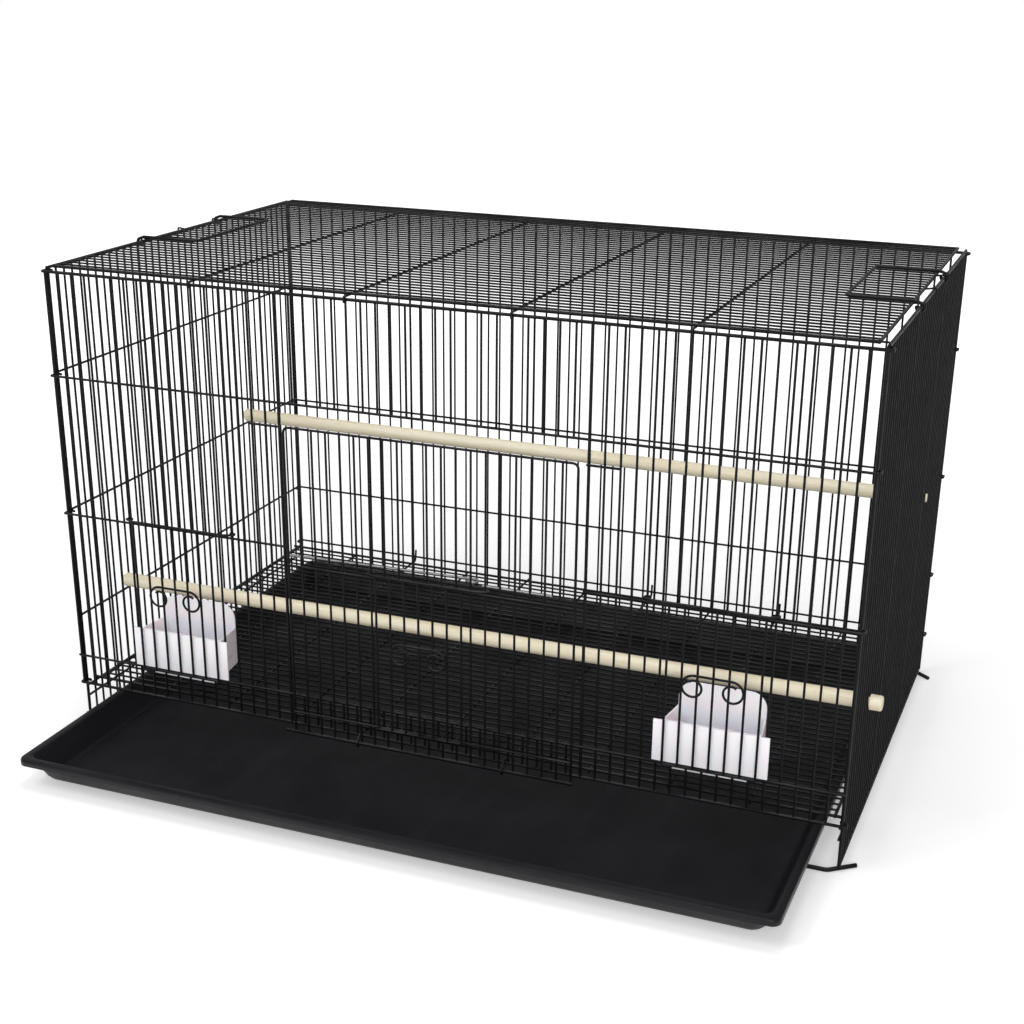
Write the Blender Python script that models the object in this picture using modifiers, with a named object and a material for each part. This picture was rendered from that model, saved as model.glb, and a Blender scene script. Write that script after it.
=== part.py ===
"""Wire flight cage with a drawn-out tray, a drop-down front door, three lift-up feeder doors,
two hooded cups, two dowel perches, a floor grille and two carrying bails.

Metres, +Z up. The origin is under the middle of the front base bar, +X runs to the right
and +Y from the front to the back.
"""
import math

import bmesh
import bpy
from mathutils import Matrix, Vector

# Overall size
WIDTH = 0.762
DEPTH = 0.4572
HEIGHT = 0.4612

# Wire radii
THIN_WIRE = 0.0010
TOP_WIRE = 0.00065
RAIL_WIRE = 0.0012
STAY_WIRE = 0.0014
ROD_BAR = 0.00145
BORDER_WIRE = 0.0015
SILL_WIRE = 0.0018
BASE_WIRE = 0.0020
LOOP_WIRE = 0.0010
ROD_WIRE = 0.00175

# Clearances
SEAT_GAP = 0.0003
PASS_GAP = 0.0002
LOOP_GAP = 0.0004
WELD = 0.0004
MERGE = 0.00001

# Spacing of the uprights
FRONT_GAPS = 55
SIDE_GAPS = 37
TOP_GAPS = 40
GRILLE_GAPS = 39
GRILLE_BAYS = 10
TOP_BAYS = 5

# Heights of the rails: the lower ones above the floor, the upper ones below the top
GUIDE_HEIGHT = 0.0350
SLOT_HEIGHT = 0.0462
SILL_HEIGHT = 0.0772
LOW_RAIL_HEIGHT = 0.1155
MID_RAIL_HEIGHT = 0.2252
UPPER_RAIL_DROP = 0.1010
DOOR_RAIL_DROP = 0.1230

# Front openings, counted in uprights
DOOR_FIRST = 17
DOOR_LAST = 38
DOOR_RAIL_REACH = 2
FEEDER_FIRST = 5
FEEDER_SPAN = 7
DOOR_HALF_SPAN = 10
MIDDLE_FIRST = -4

# Main door
DOOR_CORNER = 0.0120
DOOR_FOOT_DROP = 0.0090
DOOR_FOOT_REACH = 0.0105
DOOR_TOP_STEP = 0.0006
MIDDLE_STEP = 0.0150
HINGE_STEP = 5.25
STOP_MARGIN = 0.0015

# Scroll handle on each feeder door
SCROLL_WIDTH = 0.0560
SCROLL_CURL = 0.0110
SCROLL_CORE = 0.0060
SCROLL_HEIGHT = 0.0783
SCROLL_TURNS = 1.1

# Top grid
TOP_INSET_X = 0.0080
TOP_INSET_Y = 0.0050
TOP_HOOK_STEP = 6

# Bails on the top
BAIL_WIRE = 0.0015
BAIL_LENGTH = 0.0630
BAIL_HALF_GAPS = 6
BAIL_CORNER = 0.0060
BAIL_LIMIT = 240.0
BAIL_EYE_START = -195.0
BAIL_EYE_END = 90.0

# Floor grille
GRILLE_INSET_X = 0.0090
GRILLE_INSET_REAR = 0.0223
GRILLE_TAB_RISE = 0.0130
GRILLE_TAB_RUN = 0.0160
GRILLE_TAB_LEAN = 0.0020
GRILLE_TAB_STEP = 2

# Loose rods that lie on the grille
LONG_ROD = 0.2400
SHORT_ROD = 0.0860
ROD_EYE = 0.0055
ROD_INSET = 0.0280
ROD_SKEW = 0.0120
ROD_EYE_TURN = 300.0
SHORT_ROD_ROW = 35.5

# Base bars
FOOT_REACH = 0.0130
FOOT_BEND = 0.0090
FOOT_RUN = 0.0176

# Tray
TRAY_SIDE_GAP = 0.0200
TRAY_REAR_GAP = 0.0166
TRAY_TOP = 0.0300
TRAY_WALL = 0.0020
TRAY_RIM = 0.0080
TRAY_LIP = 0.0060
TRAY_FLARE = 0.0100
TRAY_FILLET = 0.0040
TRAY_CORNER = 0.0090
TRAY_REACH = 0.1394
TRAY_DRAW = 0.2500
TRAY_PUSH = 0.0120

# Cups
CUP_LAP = 0.0030
CUP_PLATE = 0.0020
CUP_WALL = 0.0018
CUP_RISE = 0.0395
CUP_DEPTH = 0.0370
CUP_REAR_WIDTH = 0.0790
CUP_PLAY = 0.0030
HOOD_RISE = 0.0235
HOOD_SHOULDER = 0.0150
CUP_TAB_WIDTH = 0.0690
CUP_TAB_DROP = 0.0065

# Perches
PERCH_RADIUS = 0.0070
PERCH_NECK = 0.0041
PERCH_KNOB = 0.0110
PERCH_ROUND = 0.0030
PERCH_PLAY = 0.0005
FRONT_PERCH_GAP = 6.5
REAR_PERCH_GAP = 27.5

# Outline detail; the shares place a hook's bends within its reach
HOOK_STEPS = 3
ARC_STEPS = 4
EYE_STEPS = 8
TURN_STEPS = 9
PERCH_SIDES = 16
HOOK_TURN = 135.0
DOOR_EYE_START = 220.0
DOOR_EYE_END = 30.0
SHARP_ANGLE = 40.0
PIVOT_SIZE = 0.0500
SQUARE = math.sqrt(math.pi / 2)
HOOK_SHARES = (0.5, 0.8)

BLACK = (0.012, 0.012, 0.014)
TRAY_BLACK = (0.016, 0.016, 0.018)
WHITE = (0.82, 0.81, 0.84)
PINE = (0.72, 0.58, 0.36)
STEEL = (0.42, 0.42, 0.43)


def corner(radius):
    """Distance from a wire's centre to the edges of the square bar that stands for it."""
    return radius * SQUARE


def flat(radius):
    """Distance from a wire's centre to the flat sides of that bar."""
    return corner(radius) / math.sqrt(2)


# Places that follow from the sizes
PITCH = WIDTH / FRONT_GAPS
HALF = WIDTH / 2
CORNER_STEP = 2 * corner(BORDER_WIRE) + SEAT_GAP
SIDE_FIRST = CORNER_STEP
SIDE_PITCH = (DEPTH - 2 * CORNER_STEP) / SIDE_GAPS
PASS_STEP = corner(THIN_WIRE) + corner(RAIL_WIRE) + PASS_GAP
LAP_STEP = corner(THIN_WIRE) + corner(RAIL_WIRE) - WELD
HOOK_OFFSET = 2 * corner(RAIL_WIRE) + SEAT_GAP + PASS_GAP
SIDE_TOP = HEIGHT - flat(BORDER_WIRE)
FACE_TOP = SIDE_TOP - 2 * flat(BORDER_WIRE) - SEAT_GAP
UPPER_RAIL = HEIGHT - UPPER_RAIL_DROP
DOOR_RAIL = HEIGHT - DOOR_RAIL_DROP
FOOT_TOP = 2 * flat(BASE_WIRE)
FOOT_BORDER = FOOT_TOP + SEAT_GAP + flat(BORDER_WIRE)
SIDE_RAIL_X = HALF - PASS_STEP
CROSS_Z = FACE_TOP + flat(BORDER_WIRE) + SEAT_GAP + corner(RAIL_WIRE)
TOP_Z = CROSS_Z + PASS_STEP
DOOR_Y = -(LAP_STEP + corner(RAIL_WIRE) + SEAT_GAP + corner(BORDER_WIRE))
FEEDER_Y = -(LAP_STEP + corner(RAIL_WIRE) + SEAT_GAP + flat(ROD_BAR))
DOOR_FOOT = SLOT_HEIGHT - DOOR_FOOT_DROP
DOOR_TOP = DOOR_RAIL - DOOR_TOP_STEP
ROD_STEP = corner(RAIL_WIRE) + SEAT_GAP + flat(ROD_BAR)
DOOR_SILL = SILL_HEIGHT - MIDDLE_STEP
DOOR_REST = MID_RAIL_HEIGHT - MIDDLE_STEP
MIDDLE_Y = DOOR_Y - (LAP_STEP + corner(RAIL_WIRE) + SEAT_GAP + flat(ROD_BAR))
FEEDER_CENTRE = HALF - (FEEDER_FIRST + FEEDER_SPAN / 2) * PITCH
GRILLE_Z = SLOT_HEIGHT - HOOK_OFFSET + corner(RAIL_WIRE) + SEAT_GAP + corner(BORDER_WIRE)
LOOP_REACH = corner(SILL_WIRE) + SEAT_GAP + corner(LOOP_WIRE)
LOOP_SWING = DOOR_FOOT_DROP + LOOP_REACH + corner(LOOP_WIRE)
GRILLE_FRONT = LOOP_SWING + LOOP_GAP + corner(BORDER_WIRE)
GRILLE_PITCH = (DEPTH - GRILLE_INSET_REAR - GRILLE_FRONT) / GRILLE_GAPS
TRAY_WIDTH = WIDTH - 2 * TRAY_SIDE_GAP
TRAY_DEPTH = TRAY_REACH + DEPTH - TRAY_REAR_GAP


def column(index):
    """Centre of a front or rear upright, counted from the left."""
    return -HALF + index * PITCH


def side_column(index):
    """Centre of a side upright, counted from the front."""
    return SIDE_FIRST + index * SIDE_PITCH


def grille_row(index):
    """Centre of a grille row, counted from the front."""
    return GRILLE_FRONT + index * GRILLE_PITCH


def wire(points, radius, level=False):
    """A bent wire; a level one has its flat sides up, down, front and back."""
    return {"points": [Vector(p) for p in points], "radius": radius, "level": level}


def wire_mesh(name, wires):
    """One mesh that holds every wire of the list as a closed bar."""
    curve = bpy.data.curves.new(name, "CURVE")
    curve.dimensions = "3D"
    curve.bevel_depth = SQUARE
    curve.bevel_resolution = 0
    curve.use_fill_caps = True
    for item in wires:
        spline = curve.splines.new("POLY")
        spline.points.add(len(item["points"]) - 1)
        for point, place in zip(spline.points, item["points"]):
            point.co = (place.x, place.y, place.z, 1)
            point.radius = item["radius"]
            point.tilt = math.pi / 4 if item["level"] else 0
    holder = bpy.data.objects.new(name, curve)
    bpy.context.scene.collection.objects.link(holder)
    mesh = evaluated_mesh(holder)
    bpy.data.objects.remove(holder)
    bpy.data.curves.remove(curve)
    return welded(mesh)


def evaluated_mesh(obj):
    """The object's mesh with its modifiers applied."""
    graph = bpy.context.evaluated_depsgraph_get()
    return bpy.data.meshes.new_from_object(obj.evaluated_get(graph))


def welded(mesh):
    """The mesh with the loose caps of its wires joined on."""
    bm = bmesh.new()
    bm.from_mesh(mesh)
    bmesh.ops.remove_doubles(bm, verts=bm.verts, dist=MERGE)
    bmesh.ops.recalc_face_normals(bm, faces=bm.faces)
    bm.to_mesh(mesh)
    bm.free()
    return mesh


def boolean(mesh, other, operation="UNION"):
    """One mesh from two with an exact Boolean."""
    body = bpy.data.objects.new("body", mesh)
    tool = bpy.data.objects.new("tool", other)
    tool.hide_render = True
    tool.display_type = "WIRE"
    for obj in (body, tool):
        bpy.context.scene.collection.objects.link(obj)
    modifier = body.modifiers.new("join", "BOOLEAN")
    modifier.operation = operation
    modifier.solver = "EXACT"
    modifier.object = tool
    result = evaluated_mesh(body)
    for obj in (body, tool):
        bpy.data.objects.remove(obj)
    return result


def welded_grid(name, groups):
    """One body from groups of wires; the wires inside a group don't touch each other."""
    mesh = wire_mesh(name, groups[0])
    for group in groups[1:]:
        mesh = boolean(mesh, wire_mesh(name + "_next", group))
    return mesh


def material(name, colour, roughness, metallic=0.0):
    """A plain material of the part's own colour."""
    made = bpy.data.materials.new(name)
    made.use_nodes = True
    shader = made.node_tree.nodes["Principled BSDF"]
    shader.inputs["Base Color"].default_value = (*colour, 1)
    shader.inputs["Roughness"].default_value = roughness
    shader.inputs["Metallic"].default_value = metallic
    made.diffuse_color = (*colour, 1)
    return made


def add_part(name, mesh, finish, parent=None, smooth=False):
    """Link a mesh, modelled in place, as a named part; its origin sits on its parent."""
    mesh.name = name
    mesh.materials.clear()
    mesh.materials.append(finish)
    obj = bpy.data.objects.new(name, mesh)
    cage.objects.link(obj)
    if parent is not None:
        mesh.transform(Matrix.Translation(-pivots[parent.name]))
        obj.parent = parent
    if smooth:
        mesh.shade_smooth()
        mesh.set_sharp_from_angle(angle=math.radians(SHARP_ANGLE))
    return obj


def add_pivot(name, place, parent=None):
    """An empty on a joint's axis."""
    empty = bpy.data.objects.new(name, None)
    empty.empty_display_size = PIVOT_SIZE
    pivots[name] = Vector(place)
    empty.location = pivots[name] - (pivots[parent.name] if parent else Vector())
    empty.parent = parent
    cage.objects.link(empty)
    return empty


def upright(x, y, low, high, radius=THIN_WIRE):
    """A straight vertical wire."""
    return wire([(x, y, low), (x, y, high)], radius)


def corner_hook(side, face, level_y, z, radius):
    """The end of a front or rear rail, bent round the side panel's end post.

    side is -1 or 1 for left or right, and face is -1 for the front and 1 for the rear.
    """
    base = DEPTH if face > 0 else 0
    post_y = base - face * CORNER_STEP
    reach = corner(BORDER_WIRE) + SEAT_GAP + corner(radius)
    points = [(side * HALF, level_y, z), (side * (HALF + reach * HOOK_SHARES[0]), level_y, z)]
    points.append((side * (HALF + reach), level_y - face * reach * HOOK_SHARES[0], z))
    for step in range(HOOK_STEPS + 1):
        angle = math.radians(HOOK_TURN) * step / HOOK_STEPS
        x = side * (HALF + reach * math.cos(angle))
        points.append((x, post_y - face * reach * math.sin(angle), z))
    return points


def hooked_rail(face, level_y, z, radius, level=False):
    """A rail across the whole front or rear with a hook at each end."""
    left = corner_hook(-1, face, level_y, z, radius)
    right = corner_hook(1, face, level_y, z, radius)
    return wire(left[::-1] + right, radius, level)


def front_panel_mesh():
    """Uprights, rails and the two border wires, with the openings for the doors."""
    feeders = [(FEEDER_FIRST, FEEDER_FIRST + FEEDER_SPAN)]
    feeders.append((FRONT_GAPS - FEEDER_FIRST - FEEDER_SPAN, FRONT_GAPS - FEEDER_FIRST))
    stub = corner(RAIL_WIRE)
    uprights = []
    for index in range(FRONT_GAPS + 1):
        x = column(index)
        if index in (0, FRONT_GAPS, DOOR_FIRST, DOOR_LAST):
            uprights.append(upright(x, 0, SLOT_HEIGHT, FACE_TOP, BORDER_WIRE))
            continue
        top = None
        if DOOR_FIRST < index < DOOR_LAST:
            top = DOOR_RAIL
        if any(first < index < last for first, last in feeders):
            top = MID_RAIL_HEIGHT
        if top is None:
            uprights.append(upright(x, 0, SLOT_HEIGHT, FACE_TOP))
            continue
        uprights.append(upright(x, 0, SLOT_HEIGHT, SILL_HEIGHT + stub))
        uprights.append(upright(x, 0, top - stub, FACE_TOP))
    end = HALF + corner(BORDER_WIRE)
    rails = [hooked_rail(-1, 0, FACE_TOP, BORDER_WIRE, True)]
    rails.append(hooked_rail(-1, 0, SLOT_HEIGHT, BORDER_WIRE, True))
    rails.append(hooked_rail(-1, -PASS_STEP, UPPER_RAIL, RAIL_WIRE))
    rails.append(wire([(-end, -LAP_STEP, SILL_HEIGHT), (end, -LAP_STEP, SILL_HEIGHT)], RAIL_WIRE))
    reach = column(DOOR_LAST + DOOR_RAIL_REACH)
    rails.append(wire([(-reach, -LAP_STEP, DOOR_RAIL), (reach, -LAP_STEP, DOOR_RAIL)], RAIL_WIRE))
    for side in (-1, 1):
        inner = side * (column(DOOR_LAST) - corner(BORDER_WIRE))
        points = [(inner, -LAP_STEP, MID_RAIL_HEIGHT)]
        points += corner_hook(side, -1, -LAP_STEP, MID_RAIL_HEIGHT, RAIL_WIRE)
        rails.append(wire(points, RAIL_WIRE))
    return welded_grid("front_panel", [uprights, rails])


def rear_panel_mesh():
    """The plain rear panel, from the rear base bar to the top."""
    uprights = []
    stays = [round(FRONT_GAPS * step / TOP_BAYS) for step in range(1, TOP_BAYS)]
    for index in range(FRONT_GAPS + 1):
        radius = THIN_WIRE
        if index in stays:
            radius = STAY_WIRE
        if index in (0, FRONT_GAPS):
            radius = BORDER_WIRE
        uprights.append(upright(column(index), DEPTH, FOOT_BORDER, FACE_TOP, radius))
    rails = [hooked_rail(1, DEPTH, FACE_TOP, BORDER_WIRE, True)]
    end = HALF + flat(BORDER_WIRE)
    rails.append(wire([(-end, DEPTH, FOOT_BORDER), (end, DEPTH, FOOT_BORDER)], BORDER_WIRE, True))
    for z in (UPPER_RAIL, MID_RAIL_HEIGHT, LOW_RAIL_HEIGHT, SLOT_HEIGHT):
        rails.append(hooked_rail(1, DEPTH + PASS_STEP, z, RAIL_WIRE))
    return welded_grid("rear_panel", [uprights, rails])


def side_panel_mesh(side):
    """A side panel: rails inside the uprights, the upper ones over the hooks and the lower under."""
    x = side * HALF
    uprights = []
    for index in range(SIDE_GAPS + 1):
        radius = THIN_WIRE
        if index in (SIDE_GAPS // 3, SIDE_GAPS - SIDE_GAPS // 3):
            radius = STAY_WIRE
        if index in (0, SIDE_GAPS):
            radius = BORDER_WIRE
        uprights.append(upright(x, side_column(index), FOOT_BORDER, SIDE_TOP, radius))
    end = flat(BORDER_WIRE)
    low, high = side_column(0) - end, side_column(SIDE_GAPS) + end
    rails = []
    for z in (SIDE_TOP, FOOT_BORDER):
        rails.append(wire([(x, low, z), (x, high, z)], BORDER_WIRE, True))
    rail_x = side * SIDE_RAIL_X
    levels = [z + HOOK_OFFSET for z in (UPPER_RAIL, MID_RAIL_HEIGHT, LOW_RAIL_HEIGHT)]
    levels += [z - HOOK_OFFSET for z in (SLOT_HEIGHT, GUIDE_HEIGHT)]
    for level in levels:
        rails.append(wire([(rail_x, low, level), (rail_x, high, level)], RAIL_WIRE))
    return welded_grid("side_panel", [uprights, rails])


def over_hook(x, y, direction, z, wire_z, radius):
    """Points that take a level wire over a border wire and down its outer side."""
    reach = corner(BORDER_WIRE) + SEAT_GAP + corner(radius)
    points = [(0, z), (reach * HOOK_SHARES[0], z), (reach, z - reach * HOOK_SHARES[0])]
    points.append((reach, wire_z - reach * HOOK_SHARES[1]))
    dx, dy = direction
    return [(x + dx * run, y + dy * run, height) for run, height in points]


def top_panel_mesh():
    """The top grid with its cross wires and lengthwise wires hooked over the panels."""
    first, last = TOP_INSET_Y, DEPTH - TOP_INSET_Y
    half = HALF - TOP_INSET_X
    pitch = (last - first) / TOP_GAPS
    middle = TOP_GAPS // 2
    hooked = (middle - TOP_HOOK_STEP, middle, middle + TOP_HOOK_STEP)
    lengthwise = []
    for index in range(TOP_GAPS + 1):
        y = first + index * pitch
        radius = BORDER_WIRE if index in (0, TOP_GAPS) else TOP_WIRE
        points = [(-half, y, TOP_Z), (half, y, TOP_Z)]
        if index in hooked:
            left = over_hook(-HALF, y, (-1, 0), TOP_Z, SIDE_TOP, TOP_WIRE)
            points = left[::-1] + over_hook(HALF, y, (1, 0), TOP_Z, SIDE_TOP, TOP_WIRE)
        lengthwise.append(wire(points, radius))
    reach = corner(BORDER_WIRE)
    borders = []
    for side in (-1, 1):
        x = side * half
        borders.append(wire([(x, first - reach, TOP_Z), (x, last + reach, TOP_Z)], BORDER_WIRE, True))
    for bay in range(1, TOP_BAYS):
        x = -HALF + WIDTH * bay / TOP_BAYS
        front = over_hook(x, 0, (0, -1), CROSS_Z, FACE_TOP, RAIL_WIRE)
        back = over_hook(x, DEPTH, (0, 1), CROSS_Z, FACE_TOP, RAIL_WIRE)
        borders.append(wire(front[::-1] + back, RAIL_WIRE))
    return welded_grid("top_panel", [lengthwise, borders])


def grille_mesh():
    """The floor grille, which rests on the side rails above the tray."""
    first, last = grille_row(0), grille_row(GRILLE_GAPS)
    half = HALF - GRILLE_INSET_X
    end = HALF - corner(THIN_WIRE) - LOOP_GAP
    rows = []
    for index in range(GRILLE_GAPS + 1):
        y = grille_row(index)
        edge = index in (0, GRILLE_GAPS)
        reach = end if edge else half
        points = [(-reach, y, GRILLE_Z), (reach, y, GRILLE_Z)]
        rows.append(wire(points, BORDER_WIRE if edge else THIN_WIRE))
    bars = []
    z = GRILLE_Z - PASS_STEP
    over = corner(BORDER_WIRE)
    for index in range(GRILLE_BAYS + 1):
        x = -half + 2 * half * index / GRILLE_BAYS
        if index in (0, GRILLE_BAYS):
            points = [(x, first - over, GRILLE_Z), (x, last + over, GRILLE_Z)]
            bars.append(wire(points, BORDER_WIRE, True))
            continue
        points = [(x, first - over, z), (x, last + over, z)]
        if index % GRILLE_TAB_STEP == 0:
            run = last + GRILLE_TAB_RUN
            points = [(x, first - over, z), (x, run, z)]
            points.append((x, run + GRILLE_TAB_LEAN, z + GRILLE_TAB_RISE / 2))
            points.append((x, run + GRILLE_TAB_LEAN, z + GRILLE_TAB_RISE))
        bars.append(wire(points, RAIL_WIRE))
    return welded_grid("floor_grille", [rows, bars])


def base_bar_mesh(face):
    """A base bar on the floor; its ends turn inwards and out under the side panels."""
    y = DEPTH if face > 0 else 0
    z = flat(BASE_WIRE)
    points = []
    for side in (-1, 1):
        foot = (side * (HALF + FOOT_REACH), y - face * FOOT_RUN, z)
        bend = (side * (HALF - FOOT_BEND), y, z)
        points += [foot, bend] if side < 0 else [bend, foot]
    return wire_mesh("base_bar", [wire(points, BASE_WIRE, True)])


def scroll_wire(x, y, z):
    """A double scroll: a top bar whose ends curl inwards and down to a core."""
    points = []
    count = round(SCROLL_TURNS * TURN_STEPS)
    centre = SCROLL_WIDTH / 2 - SCROLL_CURL
    for step in range(count + 1):
        angle = math.pi / 2 + math.tau * SCROLL_TURNS * step / count
        size = SCROLL_CURL + (SCROLL_CORE - SCROLL_CURL) * step / count
        points.append((-centre + size * math.cos(angle), size * math.sin(angle)))
    left = [(x + px, y, z + pz) for px, pz in points]
    right = [(x - px, y, z + pz) for px, pz in points]
    return wire(left[::-1] + right, THIN_WIRE)


def eye_points(x, y, plane_y, turn, z):
    """A rod's end curled round an upright at x, y; turn is the side that the rod ends on."""
    reach = corner(THIN_WIRE) + LOOP_GAP + corner(ROD_BAR)
    points = [(x - turn * PITCH / 2, plane_y, z), (x, plane_y, z)]
    for step in range(ARC_STEPS + 1):
        angle = math.radians(DOOR_EYE_START + (DOOR_EYE_END - DOOR_EYE_START) * step / ARC_STEPS)
        points.append((x - turn * reach * math.cos(angle), y + reach * math.sin(angle), z))
    return points


def feeder_door_mesh(start, direction, upright_y, plane_y, rail_z, sill_z):
    """A lift-up feeder door; start is the upright at one side of the opening.

    direction is the way from there to the other side. The top rod's ends curl round two
    uprights and rest above the rail, and the scroll handle is welded to the bars.
    """
    rod_z = rail_z + ROD_STEP
    bars = []
    for index in range(FEEDER_SPAN):
        x = start + direction * (index + 1 / 2) * PITCH
        bars.append(upright(x, plane_y, sill_z, rod_z))
    near = eye_points(start, upright_y, plane_y, -direction, rod_z)
    far = eye_points(start + direction * (FEEDER_SPAN + 1) * PITCH, upright_y, plane_y, direction, rod_z)
    rods = [wire(near[::-1] + far, ROD_BAR, True)]
    over = flat(ROD_BAR)
    ends = (PITCH / 2 - over, (FEEDER_SPAN - 1 / 2) * PITCH + over)
    rods.append(wire([(start + direction * run, plane_y, sill_z) for run in ends], ROD_BAR, True))
    centre = start + direction * FEEDER_SPAN * PITCH / 2
    scroll_y = plane_y - 2 * corner(THIN_WIRE) + WELD
    scroll = scroll_wire(centre, scroll_y, sill_z + SCROLL_HEIGHT)
    return welded_grid("feeder_door", [bars, rods, [scroll]])


def main_door_mesh():
    """The drop-down door: a round-cornered frame, a foot bar, uprights and two rails."""
    half = DOOR_HALF_SPAN * PITCH
    frame = []
    for side in (-1, 1):
        arc = []
        for step in range(ARC_STEPS + 1):
            angle = math.pi / 2 * step / ARC_STEPS
            x = half - DOOR_CORNER + DOOR_CORNER * math.cos(angle)
            z = DOOR_TOP - DOOR_CORNER + DOOR_CORNER * math.sin(angle)
            arc.append((side * x, DOOR_Y, z))
        stand = [(side * half, DOOR_Y, DOOR_FOOT)] + arc
        frame += stand if side < 0 else stand[::-1]
    first, last = MIDDLE_FIRST, MIDDLE_FIRST + FEEDER_SPAN
    stub = corner(RAIL_WIRE)
    bars = []
    for index in range(1 - DOOR_HALF_SPAN, DOOR_HALF_SPAN):
        x = index * PITCH
        if first < index < last:
            bars.append(upright(x, DOOR_Y, DOOR_FOOT, DOOR_SILL + stub))
            bars.append(upright(x, DOOR_Y, DOOR_REST - stub, DOOR_TOP))
        else:
            bars.append(upright(x, DOOR_Y, DOOR_FOOT, DOOR_TOP))
    rail_y = DOOR_Y - LAP_STEP
    rails = [wire([(-half, rail_y, z), (half, rail_y, z)], RAIL_WIRE) for z in (DOOR_SILL, DOOR_REST)]
    foot = [(-half - DOOR_FOOT_REACH, DOOR_Y, DOOR_FOOT), (half + flat(SILL_WIRE), DOOR_Y, DOOR_FOOT)]
    groups = [bars, [wire(frame, BORDER_WIRE, True)], [wire(foot, SILL_WIRE, True)], rails]
    return welded_grid("main_door", groups)


def hinge_loop_mesh(x):
    """A closed wire loop round the panel's border wire and the door's foot bar."""
    top = Vector((0, SLOT_HEIGHT))
    low = Vector((DOOR_Y, DOOR_FOOT))
    along = (top - low).normalized()
    base = math.atan2(along.y, along.x)
    points = []
    for centre, start in ((top, base - math.pi / 2), (low, base + math.pi / 2)):
        for step in range(ARC_STEPS + 1):
            angle = start + math.pi * step / ARC_STEPS
            y, z = centre.x + LOOP_REACH * math.cos(angle), centre.y + LOOP_REACH * math.sin(angle)
            points.append((x, y, z))
    curve = bpy.data.curves.new("hinge_loop", "CURVE")
    curve.dimensions = "3D"
    curve.bevel_depth = corner(LOOP_WIRE)
    curve.bevel_resolution = 0
    spline = curve.splines.new("POLY")
    spline.points.add(len(points) - 1)
    for point, place in zip(spline.points, points):
        point.co = (*place, 1)
    spline.use_cyclic_u = True
    holder = bpy.data.objects.new("hinge_loop", curve)
    bpy.context.scene.collection.objects.link(holder)
    mesh = evaluated_mesh(holder)
    bpy.data.objects.remove(holder)
    return welded(mesh)


def bail_mesh(side):
    """A carrying bail that lies on the top grid, with eyes round the side panel's top wire."""
    z = TOP_Z + flat(BORDER_WIRE) + SEAT_GAP + corner(BAIL_WIRE)
    reach = corner(BORDER_WIRE) + LOOP_GAP + corner(BAIL_WIRE)
    middle = DEPTH / 2
    spread = BAIL_HALF_GAPS * SIDE_PITCH
    points = []
    for way in (-1, 1):
        y = middle + way * spread
        eye = []
        for step in range(EYE_STEPS + 1):
            angle = math.radians(BAIL_EYE_START + (BAIL_EYE_END - BAIL_EYE_START) * step / EYE_STEPS)
            eye.append((side * (HALF + reach * math.cos(angle)), y, SIDE_TOP + reach * math.sin(angle)))
        eye.append((side * (HALF - reach), y, z))
        far = HALF - BAIL_LENGTH
        eye.append((side * (far + BAIL_CORNER), y, z))
        eye.append((side * far, y - way * BAIL_CORNER, z))
        points += eye if way < 0 else eye[::-1]
    return wire_mesh("bail", [wire(points, BAIL_WIRE)])


def rod_meshes():
    """Two loose rods by the rear of the grille: a long one with an eye, a short one between rows."""
    z = GRILLE_Z + corner(THIN_WIRE) + SEAT_GAP + corner(ROD_WIRE)
    left = -HALF + GRILLE_INSET_X + ROD_EYE
    rear = DEPTH - GRILLE_INSET_REAR - ROD_INSET
    end = left + LONG_ROD
    points = [(left, rear - ROD_SKEW, z), (end, rear, z)]
    centre = (end, rear - ROD_EYE)
    for step in range(1, EYE_STEPS):
        angle = math.pi / 2 - math.radians(ROD_EYE_TURN) * step / EYE_STEPS
        points.append((centre[0] + ROD_EYE * math.cos(angle), centre[1] + ROD_EYE * math.sin(angle), z))
    long_rod = wire_mesh("grille_rod_long", [wire(points, ROD_WIRE)])
    start = end + 2 * ROD_EYE + corner(ROD_WIRE)
    y = grille_row(SHORT_ROD_ROW)
    z = GRILLE_Z - PASS_STEP + corner(RAIL_WIRE) + SEAT_GAP + corner(ROD_WIRE)
    short = wire([(start, y, z), (start + SHORT_ROD, y, z)], ROD_WIRE)
    return long_rod, wire_mesh("grille_rod_short", [short])


def rounded_loop(width, depth, radius, z, centre_y):
    """Points of a rectangle with round corners, anticlockwise from above."""
    points = []
    for quarter, (sx, sy) in enumerate(((1, 1), (-1, 1), (-1, -1), (1, -1))):
        for step in range(ARC_STEPS + 1):
            angle = math.pi / 2 * (quarter + step / ARC_STEPS)
            x = sx * (width / 2 - radius) + radius * math.cos(angle)
            y = centre_y + sy * (depth / 2 - radius) + radius * math.sin(angle)
            points.append((x, y, z))
    return points


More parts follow.
